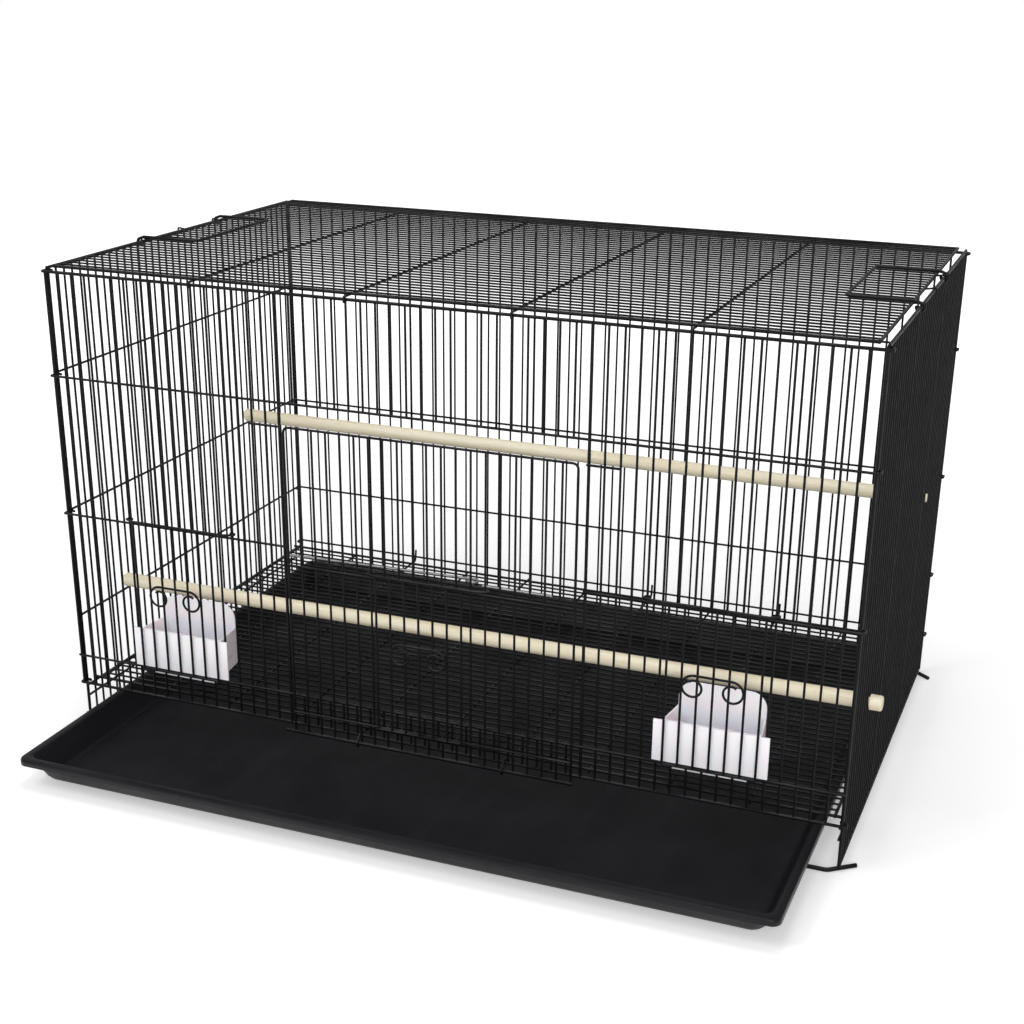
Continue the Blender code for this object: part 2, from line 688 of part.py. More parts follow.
def tray_mesh():
    """A moulded tray: the upper skin is a loft of round-cornered loops, thickened downwards."""
    centre_y = TRAY_DEPTH / 2 - TRAY_REACH
    floor = FOOT_TOP + SEAT_GAP + TRAY_WALL
    inner = TRAY_RIM + TRAY_FLARE
    loops = [(inner + TRAY_FILLET, floor)]
    loops.append((inner, floor + TRAY_FILLET))
    loops.append((TRAY_RIM, TRAY_TOP))
    loops.append((0, TRAY_TOP))
    loops.append((0, TRAY_TOP - TRAY_LIP))
    bm = bmesh.new()
    rings = []
    for inset, z in loops:
        size = (TRAY_WIDTH - 2 * inset, TRAY_DEPTH - 2 * inset)
        points = rounded_loop(*size, TRAY_CORNER, z, centre_y)
        rings.append([bm.verts.new(p) for p in points])
    bm.faces.new(rings[0])
    for inside, outside in zip(rings, rings[1:]):
        count = len(inside)
        for index in range(count):
            after = (index + 1) % count
            bm.faces.new((inside[index], outside[index], outside[after], inside[after]))
    mesh = bpy.data.meshes.new("tray")
    bm.to_mesh(mesh)
    bm.free()
    holder = bpy.data.objects.new("tray", mesh)
    bpy.context.scene.collection.objects.link(holder)
    thick = holder.modifiers.new("wall", "SOLIDIFY")
    thick.thickness = TRAY_WALL
    thick.offset = -1
    thick.use_even_offset = True
    result = evaluated_mesh(holder)
    bpy.data.objects.remove(holder)
    return result


def block(low, high, taper=0):
    """A box between two corners; its rear face is narrower by taper on each side."""
    bm = bmesh.new()
    bmesh.ops.create_cube(bm, size=1)
    for vert in bm.verts:
        share = [c + 1 / 2 for c in vert.co]
        vert.co = [a + (b - a) * s for a, b, s in zip(low, high, share)]
        if share[1] > 1 / 2:
            middle = (low[0] + high[0]) / 2
            vert.co.x -= math.copysign(taper, vert.co.x - middle)
    mesh = bpy.data.meshes.new("block")
    bm.to_mesh(mesh)
    bm.free()
    return mesh


def hood_plate(x, y, low, high):
    """The arched rear plate of a cup, drawn as an outline and given the wall's thickness."""
    half = CUP_REAR_WIDTH / 2
    outline = [(-half, low), (half, low), (half, high - HOOD_SHOULDER)]
    for step in range(1, ARC_STEPS):
        angle = math.pi / 2 * step / ARC_STEPS
        side = half - HOOD_SHOULDER * (1 - math.cos(angle))
        outline.append((side, high - HOOD_SHOULDER * (1 - math.sin(angle))))
    outline.append((half - HOOD_SHOULDER, high))
    for px, pz in outline[:2:-1]:
        outline.append((-px, pz))
    outline.append((-half, high - HOOD_SHOULDER))
    curve = bpy.data.curves.new("hood", "CURVE")
    curve.dimensions = "2D"
    curve.fill_mode = "BOTH"
    curve.extrude = CUP_WALL / 2
    spline = curve.splines.new("POLY")
    spline.points.add(len(outline) - 1)
    for point, place in zip(spline.points, outline):
        point.co = (*place, 0, 1)
    spline.use_cyclic_u = True
    holder = bpy.data.objects.new("hood", curve)
    bpy.context.scene.collection.objects.link(holder)
    mesh = evaluated_mesh(holder)
    bpy.data.objects.remove(holder)
    mesh.transform(Matrix.Translation((x, y, 0)) @ Matrix.Rotation(math.pi / 2, 4, "X"))
    return welded(mesh)


def cup_mesh(side):
    """A cup: a plate outside the panel, a tapered box inside it, a hood and a tab below."""
    x = side * FEEDER_CENTRE
    front = -(corner(THIN_WIRE) + SEAT_GAP)
    base = SILL_HEIGHT + corner(RAIL_WIRE) + SEAT_GAP
    rim = base + CUP_RISE
    opening = FEEDER_SPAN * PITCH
    plate_half = opening / 2 + CUP_LAP
    body_half = opening / 2 - corner(THIN_WIRE) - CUP_PLAY
    taper = body_half - CUP_REAR_WIDTH / 2
    rear = front + CUP_DEPTH
    mesh = block((x - body_half, front - CUP_PLATE / 2, base), (x + body_half, rear, rim), taper)
    plate = block((x - plate_half, front - CUP_PLATE, base), (x + plate_half, front, rim - SEAT_GAP))
    mesh = boolean(mesh, plate)
    half = body_half - CUP_WALL
    hollow = block((x - half, front, base + CUP_WALL), (x + half, rear - CUP_WALL, rim + CUP_RISE), taper)
    mesh = boolean(mesh, hollow, "DIFFERENCE")
    plate_y = rear - CUP_WALL / 2 + SEAT_GAP / 2
    mesh = boolean(mesh, hood_plate(x, plate_y, base + CUP_WALL, rim + HOOD_RISE))
    tab_front = corner(THIN_WIRE) + LOOP_GAP
    tab_half = CUP_TAB_WIDTH / 2
    tab_low = (x - tab_half, tab_front, SILL_HEIGHT - CUP_TAB_DROP)
    tab_high = (x + tab_half, tab_front + CUP_PLATE, base + CUP_WALL / 2)
    return boolean(mesh, block(tab_low, tab_high))


def perch_mesh(y, rail_z, knob):
    """A dowel turned from a profile, with a spigot at each end or a necked knob on the right."""
    inner = HALF - corner(THIN_WIRE) - PERCH_PLAY
    outer = HALF + corner(THIN_WIRE) + PERCH_PLAY
    profile = [(0, outer)]
    if knob:
        tip = outer + PERCH_KNOB
        profile = [(0, tip), (PERCH_RADIUS - PERCH_ROUND, tip), (PERCH_RADIUS, tip - PERCH_ROUND)]
        profile.append((PERCH_RADIUS, outer))
    profile += [(PERCH_NECK, outer), (PERCH_NECK, inner), (PERCH_RADIUS, inner)]
    profile += [(PERCH_RADIUS, -inner), (PERCH_NECK, -inner), (PERCH_NECK, -outer), (0, -outer)]
    bm = bmesh.new()
    verts = [bm.verts.new((radius, 0, height)) for radius, height in profile]
    for one, two in zip(verts, verts[1:]):
        bm.edges.new((one, two))
    mesh = bpy.data.meshes.new("perch")
    bm.to_mesh(mesh)
    bm.free()
    holder = bpy.data.objects.new("perch", mesh)
    bpy.context.scene.collection.objects.link(holder)
    turn = holder.modifiers.new("turn", "SCREW")
    turn.steps = PERCH_SIDES
    turn.render_steps = PERCH_SIDES
    turn.use_merge_vertices = True
    turn.merge_threshold = MERGE
    result = evaluated_mesh(holder)
    bpy.data.objects.remove(holder)
    z = rail_z + HOOK_OFFSET + corner(RAIL_WIRE) + SEAT_GAP + PERCH_RADIUS
    result.transform(Matrix.Translation((0, y, z)) @ Matrix.Rotation(math.pi / 2, 4, "Y"))
    return welded(result)


for old in list(bpy.data.objects):
    bpy.data.objects.remove(old)
cage = bpy.data.collections.new("bird_cage")
bpy.context.scene.collection.children.link(cage)
pivots = {}

black_wire = material("black_wire", BLACK, 0.35)
black_plastic = material("black_plastic", TRAY_BLACK, 0.55)
white_plastic = material("white_plastic", WHITE, 0.35)
pine_dowel = material("pine_dowel", PINE, 0.6)
grey_steel = material("grey_steel", STEEL, 0.4, 0.8)

add_part("front_panel", front_panel_mesh(), black_wire)
add_part("rear_panel", rear_panel_mesh(), black_wire)
add_part("left_panel", side_panel_mesh(-1), black_wire)
add_part("right_panel", side_panel_mesh(1), black_wire)
add_part("top_panel", top_panel_mesh(), black_wire)
add_part("floor_grille", grille_mesh(), black_wire)
add_part("base_bar_front", base_bar_mesh(-1), black_wire)
add_part("base_bar_rear", base_bar_mesh(1), black_wire)
for name, mesh in zip(("grille_rod_long", "grille_rod_short"), rod_meshes()):
    add_part(name, mesh, grey_steel)

for name, side in (("cup_left", -1), ("cup_right", 1)):
    add_part(name, cup_mesh(side), white_plastic)
perches = [("perch_front", FRONT_PERCH_GAP, LOW_RAIL_HEIGHT, True)]
perches.append(("perch_rear", REAR_PERCH_GAP, MID_RAIL_HEIGHT, False))
for name, gap, rail, knob in perches:
    add_part(name, perch_mesh(side_column(gap), rail, knob), pine_dowel, smooth=True)

tray_pivot = add_pivot("tray_slide", (0, -TRAY_REACH, TRAY_TOP))
add_part("tray", tray_mesh(), black_plastic, tray_pivot)

door_pivot = add_pivot("main_door_hinge", (0, 0, SLOT_HEIGHT))
add_part("main_door", main_door_mesh(), black_wire, door_pivot)
for name, side in (("door_loop_left", -1), ("door_loop_right", 1)):
    add_part(name, hinge_loop_mesh(side * HINGE_STEP * PITCH), black_wire, door_pivot)

for name, side in (("left", -1), ("right", 1)):
    start = side * (HALF - FEEDER_FIRST * PITCH)
    pivot = add_pivot("feeder_" + name + "_slide", (side * FEEDER_CENTRE, FEEDER_Y, SILL_HEIGHT))
    door = feeder_door_mesh(start, -side, 0, FEEDER_Y, MID_RAIL_HEIGHT, SILL_HEIGHT)
    add_part("feeder_door_" + name, door, black_wire, pivot)
    pivot = add_pivot("bail_" + name + "_hinge", (side * HALF, DEPTH / 2, SIDE_TOP))
    add_part("bail_" + name, bail_mesh(side), black_wire, pivot)

start = MIDDLE_FIRST * PITCH
pivot = add_pivot("feeder_middle_slide", (start + FEEDER_SPAN * PITCH / 2, MIDDLE_Y, DOOR_SILL), door_pivot)
door = feeder_door_mesh(start, 1, DOOR_Y, MIDDLE_Y, DOOR_REST, DOOR_SILL)
add_part("feeder_door_middle", door, black_wire, pivot)

lift = UPPER_RAIL - corner(RAIL_WIRE) - SEAT_GAP - flat(ROD_BAR) - (MID_RAIL_HEIGHT + ROD_STEP)
middle_lift = DOOR_TOP - flat(BORDER_WIRE) - STOP_MARGIN - flat(ROD_BAR) - (DOOR_REST + ROD_STEP)
print("travel of a side feeder door:", round(lift, 4), "m")
print("travel of the middle feeder door:", round(middle_lift, 4), "m")
print("tray slides from", -TRAY_DRAW, "to", TRAY_PUSH, "m; a bail swings to", BAIL_LIMIT, "degrees")
for name, place in pivots.items():
    print(name, [round(value, 5) for value in place])
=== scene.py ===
# %% [markdown]
# # A wire flight cage, piece by piece
# This lesson dresses a bird cage of welded wire: panels, doors, cups, perches and a moulded
# tray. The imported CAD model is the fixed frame. It holds the joints and the collision, in
# metres, with the origin under the front base bar. Here each piece is drawn again as the
# photograph shows it, and rides on the same body as the solid that it stands for.

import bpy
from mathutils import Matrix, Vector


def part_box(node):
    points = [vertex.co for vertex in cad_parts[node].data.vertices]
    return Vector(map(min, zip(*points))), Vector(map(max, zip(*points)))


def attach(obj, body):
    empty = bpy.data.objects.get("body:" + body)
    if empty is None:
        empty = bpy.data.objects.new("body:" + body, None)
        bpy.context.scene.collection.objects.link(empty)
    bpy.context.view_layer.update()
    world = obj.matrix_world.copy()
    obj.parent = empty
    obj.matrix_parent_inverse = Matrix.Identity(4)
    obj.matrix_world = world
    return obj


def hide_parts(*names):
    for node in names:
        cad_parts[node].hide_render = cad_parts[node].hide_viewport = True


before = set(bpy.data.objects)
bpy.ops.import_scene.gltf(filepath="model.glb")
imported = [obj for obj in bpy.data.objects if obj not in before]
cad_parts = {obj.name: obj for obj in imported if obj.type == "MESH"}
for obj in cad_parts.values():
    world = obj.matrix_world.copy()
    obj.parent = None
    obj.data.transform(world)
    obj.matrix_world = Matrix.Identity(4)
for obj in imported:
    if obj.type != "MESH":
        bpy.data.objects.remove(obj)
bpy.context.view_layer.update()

# %% [markdown]
# ## The tools
# Blender's own modules are enough: `bmesh` builds meshes from points, and `mathutils` does
# the vector sums. Only the frame is read from disk, so the script gives the same cage each time.

# %% Bring in the modules
import math

import bmesh
import bpy
from mathutils import Matrix, Vector

print("Blender", bpy.app.version_string)

# %% [markdown]
# ## The driving sizes
# A cage like this is set out on its wire spacing. The front has 55 gaps in 762 mm, and every
# opening starts and ends at an upright. So a few sizes and a count of gaps place most of it.

# %% Overall sizes and spacing
WIDTH = 0.762
DEPTH = 0.4572
HALF = WIDTH / 2
FRONT_GAPS = 55
SIDE_GAPS = 37
PITCH = WIDTH / FRONT_GAPS
print("front spacing %.2f mm" % (PITCH * 1000))

# %% [markdown]
# ## Wire gauges
# The thin uprights are just over 2 mm, the rails that cross them are a little heavier, and the
# borders and the base bars are heavier still. The weight of each wire tells the eye what
# carries what, so the gauges stay separate values. LAP is how far the centres of two crossing
# wires lie apart where the weld has sunk them into each other.

# %% Wire radii
THIN = 0.0011
TOP_WIRE = 0.0009
RAIL = 0.0012
STAY = 0.0014
BORDER = 0.0015
SILL = 0.0018
BASE = 0.0020
SINK = 0.0003
LAP = THIN + RAIL - SINK
CLEAR = 0.0004
print("a welded crossing is %.1f mm thick" % ((2 * THIN + 2 * RAIL - SINK) * 1000))

# %% [markdown]
# ## Heights
# The rails are measured on the photograph with a camera fitted to the cage's edges. The
# upper side rails lie just over the front ones and the lower two just under, because the
# hooked ends of the front rails turn round the side panel's end post there.

# %% Rail heights
GUIDE_RAIL = 0.0350
SLOT_RAIL = 0.0462
SILL_RAIL = 0.0772
LOW_RAIL = 0.1155
MID_RAIL = 0.2252
DOOR_RAIL = 0.3382
UPPER_RAIL = 0.3602
HOOK_OFFSET = 0.0035
SIDE_TOP = 0.4599
FACE_TOP = 0.4569
CROSS_TOP = FACE_TOP + BORDER + RAIL
GRID_TOP = CROSS_TOP + TOP_WIRE + RAIL - SINK
FOOT_BORDER = 0.0052
CORNER_STEP = 0.0041
SIDE_PITCH = (DEPTH - 2 * CORNER_STEP) / SIDE_GAPS
print("side spacing %.2f mm" % (SIDE_PITCH * 1000))

# %% [markdown]
# ## Shader nodes
# A material is a net of nodes. To add one, set its operation and fill its inputs takes several
# lines each time, so one helper does it. A number or a colour is set on the input, and another
# node's output is linked to it.

# %% A node with its inputs filled
def feed(tree, socket, value):
    """Set a value on an input, or link another node's output to it."""
    if isinstance(value, bpy.types.NodeSocket):
        tree.links.new(value, socket)
    else:
        socket.default_value = value


def fill(tree, node, named):
    """Feed a node's inputs by name; a keyword has an underscore for each space."""
    for label, value in named.items():
        feed(tree, node.inputs[label.replace("_", " ")], value)


def add_node(tree, kind, *values, operation=None, **named):
    """A new shader node; plain values fill its inputs in order, keywords by name."""
    node = tree.nodes.new("ShaderNode" + kind)
    if operation:
        node.operation = operation
    for socket, value in zip(node.inputs, values):
        feed(tree, socket, value)
    fill(tree, node, named)
    return node


print("node helpers ready")

# %% [markdown]
# ## Groups that the finishes share
# Effects that several finishes share are shader node groups, each with named inputs and one
# output. A group returns only a value, so the shader itself stays outside. Noise textures count
# in repeats per metre, which is hard to picture, so here a noise takes the width of a patch.

# %% A group builder and a noise by width
FLOAT = "NodeSocketFloat"


def node_group(name, inputs, output):
    """An empty shader group with named float sockets, and its two end nodes."""
    group = bpy.data.node_groups.new(name, "ShaderNodeTree")
    for label, value in inputs.items():
        socket = group.interface.new_socket(name=label, in_out="INPUT", socket_type=FLOAT)
        socket.default_value = value
    group.interface.new_socket(name=output, in_out="OUTPUT", socket_type=FLOAT)
    return group, group.nodes.new("NodeGroupInput"), group.nodes.new("NodeGroupOutput")


def noise_by_width(tree, width, detail, share=1.0):
    """A noise whose patches are as wide as that input; a smaller share makes them wider."""
    place = add_node(tree, "TexCoord").outputs["Object"]
    rate = add_node(tree, "Math", share, width, operation="DIVIDE").outputs[0]
    return add_node(tree, "TexNoise", Vector=place, Scale=rate, Detail=detail).outputs["Fac"]


print("group builder ready")

# %% [markdown]
# The first group gives the fine pebbled skin of powder coat or of a textured mould: two noises
# of different width, summed to a height.

# %% The pebbled skin group
WAVE_SHARE = 0.18


def build_pebble():
    """Height of a fine pebbled skin; Size is the width of a pebble in metres."""
    inputs = {"Size": 0.0006, "Waviness": 0.4}
    group, given, out = node_group("pebbled_skin", inputs, "Height")
    size, waviness = given.outputs["Size"], given.outputs["Waviness"]
    fine = noise_by_width(group, size, 1)
    wave = noise_by_width(group, size, 1, WAVE_SHARE)
    total = add_node(group, "Math", wave, waviness, fine, operation="MULTIPLY_ADD")
    feed(group, out.inputs["Height"], total.outputs[0])
    return group


pebbled_skin = build_pebble()
print("made", pebbled_skin.name)

# %% [markdown]
# A mask for what faces up, in faint clouds. The group compares the surface's normal with
# straight up and multiplies by a noise. Each material mixes its own colour by that mask: on the
# tray it is settled dust, on the wire it is partly dust and partly a painted highlight on top.

# %% The dust and top highlight group
def build_dust_and_top_highlight():
    """Mask on surfaces that face up, for dust and for a painted top highlight."""
    inputs = {"Amount": 0.3, "Cloud Size": 0.03}
    group, given, out = node_group("dust_and_top_highlight", inputs, "Mask")
    normal = add_node(group, "NewGeometry").outputs["Normal"]
    height = add_node(group, "SeparateXYZ", normal).outputs["Z"]
    facing = add_node(group, "MapRange", Value=height, From_Min=0.2).outputs[0]
    cloud = noise_by_width(group, given.outputs["Cloud Size"], 4)
    patch = add_node(group, "MapRange", Value=cloud, From_Min=0.35, From_Max=0.75).outputs[0]
    both = add_node(group, "Math", facing, patch, operation="MULTIPLY").outputs[0]
    amount = given.outputs["Amount"]
    scaled = add_node(group, "Math", both, amount, operation="MULTIPLY").outputs[0]
    feed(group, out.inputs["Mask"], scaled)
    return group


dust_and_top_highlight = build_dust_and_top_highlight()
print("made", dust_and_top_highlight.name)

# %% [markdown]
# No finish is quite even: a coated wire is a shade duller where it was handled, and a moulding
# has slow patches of gloss. This group turns one noise into a value between two limits, for
# colour or for roughness.

# %% The slow variation group
def build_mottle():
    """A value that drifts between Low and High over the surface."""
    inputs = {"Patch Size": 0.02, "Low": 0.3, "High": 0.5}
    group, given, out = node_group("slow_mottle", inputs, "Value")
    noise = noise_by_width(group, given.outputs["Patch Size"], 3)
    limits = {"To_Min": given.outputs["Low"], "To_Max": given.outputs["High"]}
    spread = add_node(group, "MapRange", Value=noise, From_Min=0.3, From_Max=0.7, **limits)
    feed(group, out.inputs["Value"], spread.outputs[0])
    return group


slow_mottle = build_mottle()
print("made", slow_mottle.name)

# %% [markdown]
# ## A material kit
# Each material starts from a Principled shader. The helpers place a shared group, blend two
# colours by a mask, draw a noise out along one axis, and turn a height into a bumped normal.
# Numbers that are the same all over the surface go straight onto the shader's own sockets.

# %% Material helpers
MIX_COLOURS = (6, 7)
MIX_RESULT = 2


class Finish:
    """A new material with helpers for the groups that the finishes share."""

    def __init__(self, name, roughness=0.5, metallic=0.0, specular=0.5):
        self.material = bpy.data.materials.new(name)
        self.material.use_nodes = True
        self.tree = self.material.node_tree
        self.shader = self.tree.nodes["Principled BSDF"]
        self.set(Roughness=roughness, Metallic=metallic, Specular_IOR_Level=specular)

    def set(self, **named):
        """Feed the shader's own inputs."""
        fill(self.tree, self.shader, named)

    def add(self, kind, *values, **named):
        """Add a node to this material."""
        return add_node(self.tree, kind, *values, **named)

    def use(self, group, **named):
        """Place a shared group and give its output."""
        node = self.add("Group")
        node.node_tree = group
        fill(self.tree, node, named)
        return node.outputs[0]

    def blend(self, mask, low, high):
        """A colour that goes from low to high with the mask; each is a colour or a socket."""
        mix = self.add("Mix")
        mix.data_type = "RGBA"
        feed(self.tree, mix.inputs["Factor"], mask)
        for index, colour in zip(MIX_COLOURS, (low, high)):
            value = (*colour, 1) if isinstance(colour, tuple) else colour
            feed(self.tree, mix.inputs[index], value)
        return mix.outputs[MIX_RESULT]

    def grain(self, rates, detail, distortion=0.0):
        """A noise with its own number of repeats per metre along each axis."""
        place = self.add("TexCoord").outputs["Object"]
        drawn = self.add("Mapping", Vector=place, Scale=rates).outputs[0]
        noise = self.add("TexNoise", Vector=drawn, Scale=1, Detail=detail, Distortion=distortion)
        return noise.outputs["Fac"]

    def bump(self, height, distance):
        """Feed a height in metres to the shader's normal."""
        self.set(Normal=self.add("Bump", Height=height, Distance=distance).outputs["Normal"])


print("material kit ready")

# %% [markdown]
# ## Black powder coat
# Nearly all the cage is mild steel wire with a satin black powder coat. The coat is thin and
# dark, with a soft highlight, a pebbled skin and a pale grey on the upper side that is partly
# dust and partly painted highlight. A plain black would do from afar, but this painted highlight
# is what makes level wires read a little paler than uprights, so the three shared groups each add
# their part.

# %% Powder coated wire
def powder_coat():
    """Satin black powder coat on wire."""
    finish = Finish("black_powder_coat", specular=0.12)
    drift = finish.use(slow_mottle, Patch_Size=0.025, Low=0.0, High=1.0)
    coat = finish.blend(drift, (0.0030, 0.0030, 0.0036), (0.0055, 0.0055, 0.0066))
    # Painted highlight: the upward mask is set strong here, so the tops of level wires turn pale
    # grey as if lit from above; a little of it stands for dust.
    upward_mask = finish.use(dust_and_top_highlight, Amount=0.30, Cloud_Size=0.04)
    finish.set(Base_Color=finish.blend(upward_mask, coat, (0.23, 0.228, 0.235)))
    finish.set(Roughness=finish.use(slow_mottle, Patch_Size=0.012, Low=0.34, High=0.5))
    finish.bump(finish.use(pebbled_skin, Size=0.0005, Waviness=0.6), 0.00004)
    return finish.material


BLACK_WIRE = powder_coat()
print("made", BLACK_WIRE.name)

# %% [markdown]
# ## Moulded black plastic
# The tray is injection moulded in black plastic. It is satin rather than glossy, with a coarser
# skin, faint rubbed streaks along the way that it slides and a little dust on its floor. The
# streaks are one noise that repeats often from side to side and seldom from front to rear, so
# they need no drawn marks.

# %% Tray plastic
def tray_plastic():
    """Black moulded plastic with faint streaks from use."""
    finish = Finish("black_moulded_plastic", specular=0.22)
    streak = finish.grain((55, 3.5, 55), 5)
    rubbed = finish.add("MapRange", Value=streak, From_Min=0.55, From_Max=0.8).outputs[0]
    body = finish.blend(rubbed, (0.0050, 0.0050, 0.0072), (0.0092, 0.0092, 0.0122))
    upward_mask = finish.use(dust_and_top_highlight, Amount=0.04, Cloud_Size=0.07)
    finish.set(Base_Color=finish.blend(upward_mask, body, (0.11, 0.11, 0.12)))
    finish.set(Roughness=finish.use(slow_mottle, Patch_Size=0.05, Low=0.34, High=0.46))
    finish.bump(finish.use(pebbled_skin, Size=0.0007, Waviness=0.8), 0.00005)
    return finish.material


TRAY_BLACK = tray_plastic()
print("made", TRAY_BLACK.name)

# %% [markdown]
# ## White cup plastic
# The cups are thin white plastic that lets a little light through, so their walls never look
# chalky. Light spreads under the surface for a few millimetres, and slow patches of a paler
# white show where the wall is thinner. Subsurface scattering gives this, and is safer than
# transparency, which would show the inside of a thin shell.

# %% Cup plastic
def cup_plastic():
    """Milky white plastic."""
    finish = Finish("white_cup_plastic")
    finish.set(Subsurface_Weight=0.25, Subsurface_Scale=0.004)
    drift = finish.use(slow_mottle, Patch_Size=0.03, Low=0.0, High=1.0)
    finish.set(Base_Color=finish.blend(drift, (0.94, 0.87, 0.91), (0.98, 0.91, 0.95)))
    finish.set(Roughness=finish.use(slow_mottle, Patch_Size=0.015, Low=0.26, High=0.4))
    finish.bump(finish.use(pebbled_skin, Size=0.0012, Waviness=0.5), 0.00003)
    return finish.material


CUP_WHITE = cup_plastic()
print("made", CUP_WHITE.name)

# %% [markdown]
# ## Bare pine
# The perches are sanded pine dowels. Growth rings seen from the side are long pale and tan
# bands along the dowel. A ring texture would show them as circles on the ends too, but the ends
# are small here, so a noise stretched along the length is enough, and a finer one adds pores.

# %% Pine dowel
def pine():
    """Sanded pine with grain along the X axis."""
    finish = Finish("sanded_pine", specular=0.3)
    bands = finish.grain((5, 160, 160), 4, distortion=0.6)
    ring = finish.add("MapRange", Value=bands, From_Min=0.35, From_Max=0.68).outputs[0]
    wood = finish.blend(ring, (0.93, 0.86, 0.69), (0.82, 0.72, 0.51))
    pores = finish.grain((60, 1900, 1900), 2)
    dark = finish.add("MapRange", Value=pores, From_Min=0.58, From_Max=0.8, To_Max=0.5).outputs[0]
    finish.set(Base_Color=finish.blend(dark, wood, (0.55, 0.42, 0.25)))
    finish.set(Roughness=finish.use(slow_mottle, Patch_Size=0.02, Low=0.55, High=0.72))
    finish.bump(pores, 0.00006)
    return finish.material


PINE = pine()
print("made", PINE.name)

# %% [markdown]
# ## Dull zinc
# Two loose rods on the grille are bright zinc that has gone dull. On a metal the base colour is
# the colour of its reflection, so patches of two greys and a roughness that drifts are all that
# it takes.

# %% Zinc rods
def zinc():
    """Dull zinc plate."""
    finish = Finish("dull_zinc", metallic=0.9)
    drift = finish.use(slow_mottle, Patch_Size=0.008, Low=0.0, High=1.0)
    finish.set(Base_Color=finish.blend(drift, (0.34, 0.34, 0.35), (0.52, 0.52, 0.53)))
    finish.set(Roughness=finish.use(slow_mottle, Patch_Size=0.004, Low=0.3, High=0.55))
    finish.bump(finish.use(pebbled_skin, Size=0.0004, Waviness=0.3), 0.00002)
    return finish.material


ZINC = zinc()
print("made", ZINC.name)

# %% [markdown]
# ## Bending wire
# A wire bender leaves a small arc at each corner, never a sharp mitre. `bent` replaces each
# inner corner of a path by a short curve through the corner's two sides. Where wire is curled
# on purpose, into a hook, an eye or a loop, `arc` works the points out from a centre.

# %% Bends and arcs
BEND_STEPS = 4
LEAST_TURN = 0.02
LEAST_TRIM = 1e-6
TRIM_SHARE = 0.45


def bent(points, radius):
    """The path with each inner corner rounded to about that radius."""
    points = [Vector(p) for p in points]
    path = [points[0]]
    for before, here, after in zip(points, points[1:], points[2:]):
        back, on = before - here, after - here
        turn = math.pi - back.angle(on, 0)
        room = TRIM_SHARE * min(back.length, on.length)
        trim = min(radius * math.tan(turn / 2), room)
        if turn < LEAST_TURN or trim < LEAST_TRIM:
            path.append(here)
            continue
        start, end = here + back.normalized() * trim, here + on.normalized() * trim
        for step in range(BEND_STEPS + 1):
            t = step / BEND_STEPS
            path.append(start * (1 - t) ** 2 + here * 2 * t * (1 - t) + end * t ** 2)
    path.append(points[-1])
    return path


def arc(centre, radius, start, end, steps):
    """(across, up) pairs round a centre, from a start angle to an end angle in degrees."""
    angles = [math.radians(start + (end - start) * step / steps) for step in range(steps + 1)]
    return [(centre[0] + radius * math.cos(a), centre[1] + radius * math.sin(a)) for a in angles]


print("a bend has", BEND_STEPS, "steps")

# %% [markdown]
# A strand is one wire: its path and its radius. Most strands are straight and lie along one
# axis, so each of the three directions has a helper of its own.

# %% Strands of wire
def strand(points, radius, bend=0.0):
    """One wire of a piece: its path and its radius."""
    return (bent(points, bend) if bend else [Vector(p) for p in points], radius)


def upright(x, y, low, high, radius):
    """A straight wire from one height to another."""
    return strand([(x, y, low), (x, y, high)], radius)


def side_to_side(reach, y, z, radius):
    """A straight wire from side to side, as far as reach each way."""
    return strand([(-reach, y, z), (reach, y, z)], radius)


def front_to_rear(x, near, far, z, radius):
    """A straight wire from the front towards the rear."""
    return strand([(x, near, z), (x, far, z)], radius)


print("strands can run up, from side to side and from front to rear")

# %% [markdown]
# ## Turning paths into wire
# A curve object can hold every wire of a panel at once: each spline is one wire, and the
# curve's round bevel gives the section, scaled by the radius of each point. The result is
# turned into a mesh, joined with its weld beads and hung on its CAD body.

# %% Make a mesh of wire
def put_in_scene(name, data):
    """A new object in the scene that shows a curve, a mesh, a lamp or a camera."""
    thing = bpy.data.objects.new(name, data)
    bpy.context.scene.collection.objects.link(thing)
    return thing


def wire_mesh(name, strands, roundness):
    """One mesh with a round tube along each strand."""
    curve = bpy.data.curves.new(name, "CURVE")
    curve.dimensions = "3D"
    curve.bevel_depth = 1
    curve.bevel_resolution = roundness
    curve.use_fill_caps = True
    for path, radius in strands:
        spline = curve.splines.new("POLY")
        spline.points.add(len(path) - 1)
        for point, place in zip(spline.points, path):
            point.co = (*place, 1)
            point.radius = radius
    holder = put_in_scene(name, curve)
    graph = bpy.context.evaluated_depsgraph_get()
    mesh = bpy.data.meshes.new_from_object(holder.evaluated_get(graph))
    bpy.data.objects.remove(holder)
    bpy.data.curves.remove(curve)
    return mesh


print("wire maker ready")

# %% [markdown]
# Where two wires cross, a spot weld squeezes a bead of metal out between them. A twelve-point
# ball at each crossing is enough, since the bead is about as wide as the wire.

# %% Make the weld beads
BEAD = 0.00115


def weld_beads(mesh, spots):
    """Add a small ball to the mesh at each spot."""
    bm = bmesh.new()
    bm.from_mesh(mesh)
    for spot in spots:
        there = Matrix.Translation(spot)
        bmesh.ops.create_icosphere(bm, subdivisions=1, radius=BEAD, matrix=there)
    bm.to_mesh(mesh)
    bm.free()


print("a bead is %.1f mm wide" % (BEAD * 2000))

# %% [markdown]
# ## Hanging a piece on the frame
# Each finished mesh takes its material, is shaded smooth with sharp edges kept, hides the CAD
# node that it replaces and rides on that node's body.

# %% Place a piece
WIRE_SHARP = 50


def place_piece(name, mesh, finish, body, node, sharp):
    """Show a mesh in place of a CAD node, on that node's body."""
    mesh.materials.clear()
    mesh.materials.append(finish)
    mesh.shade_smooth()
    mesh.set_sharp_from_angle(angle=math.radians(sharp))
    piece = put_in_scene(name, mesh)
    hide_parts(node)
    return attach(piece, body)


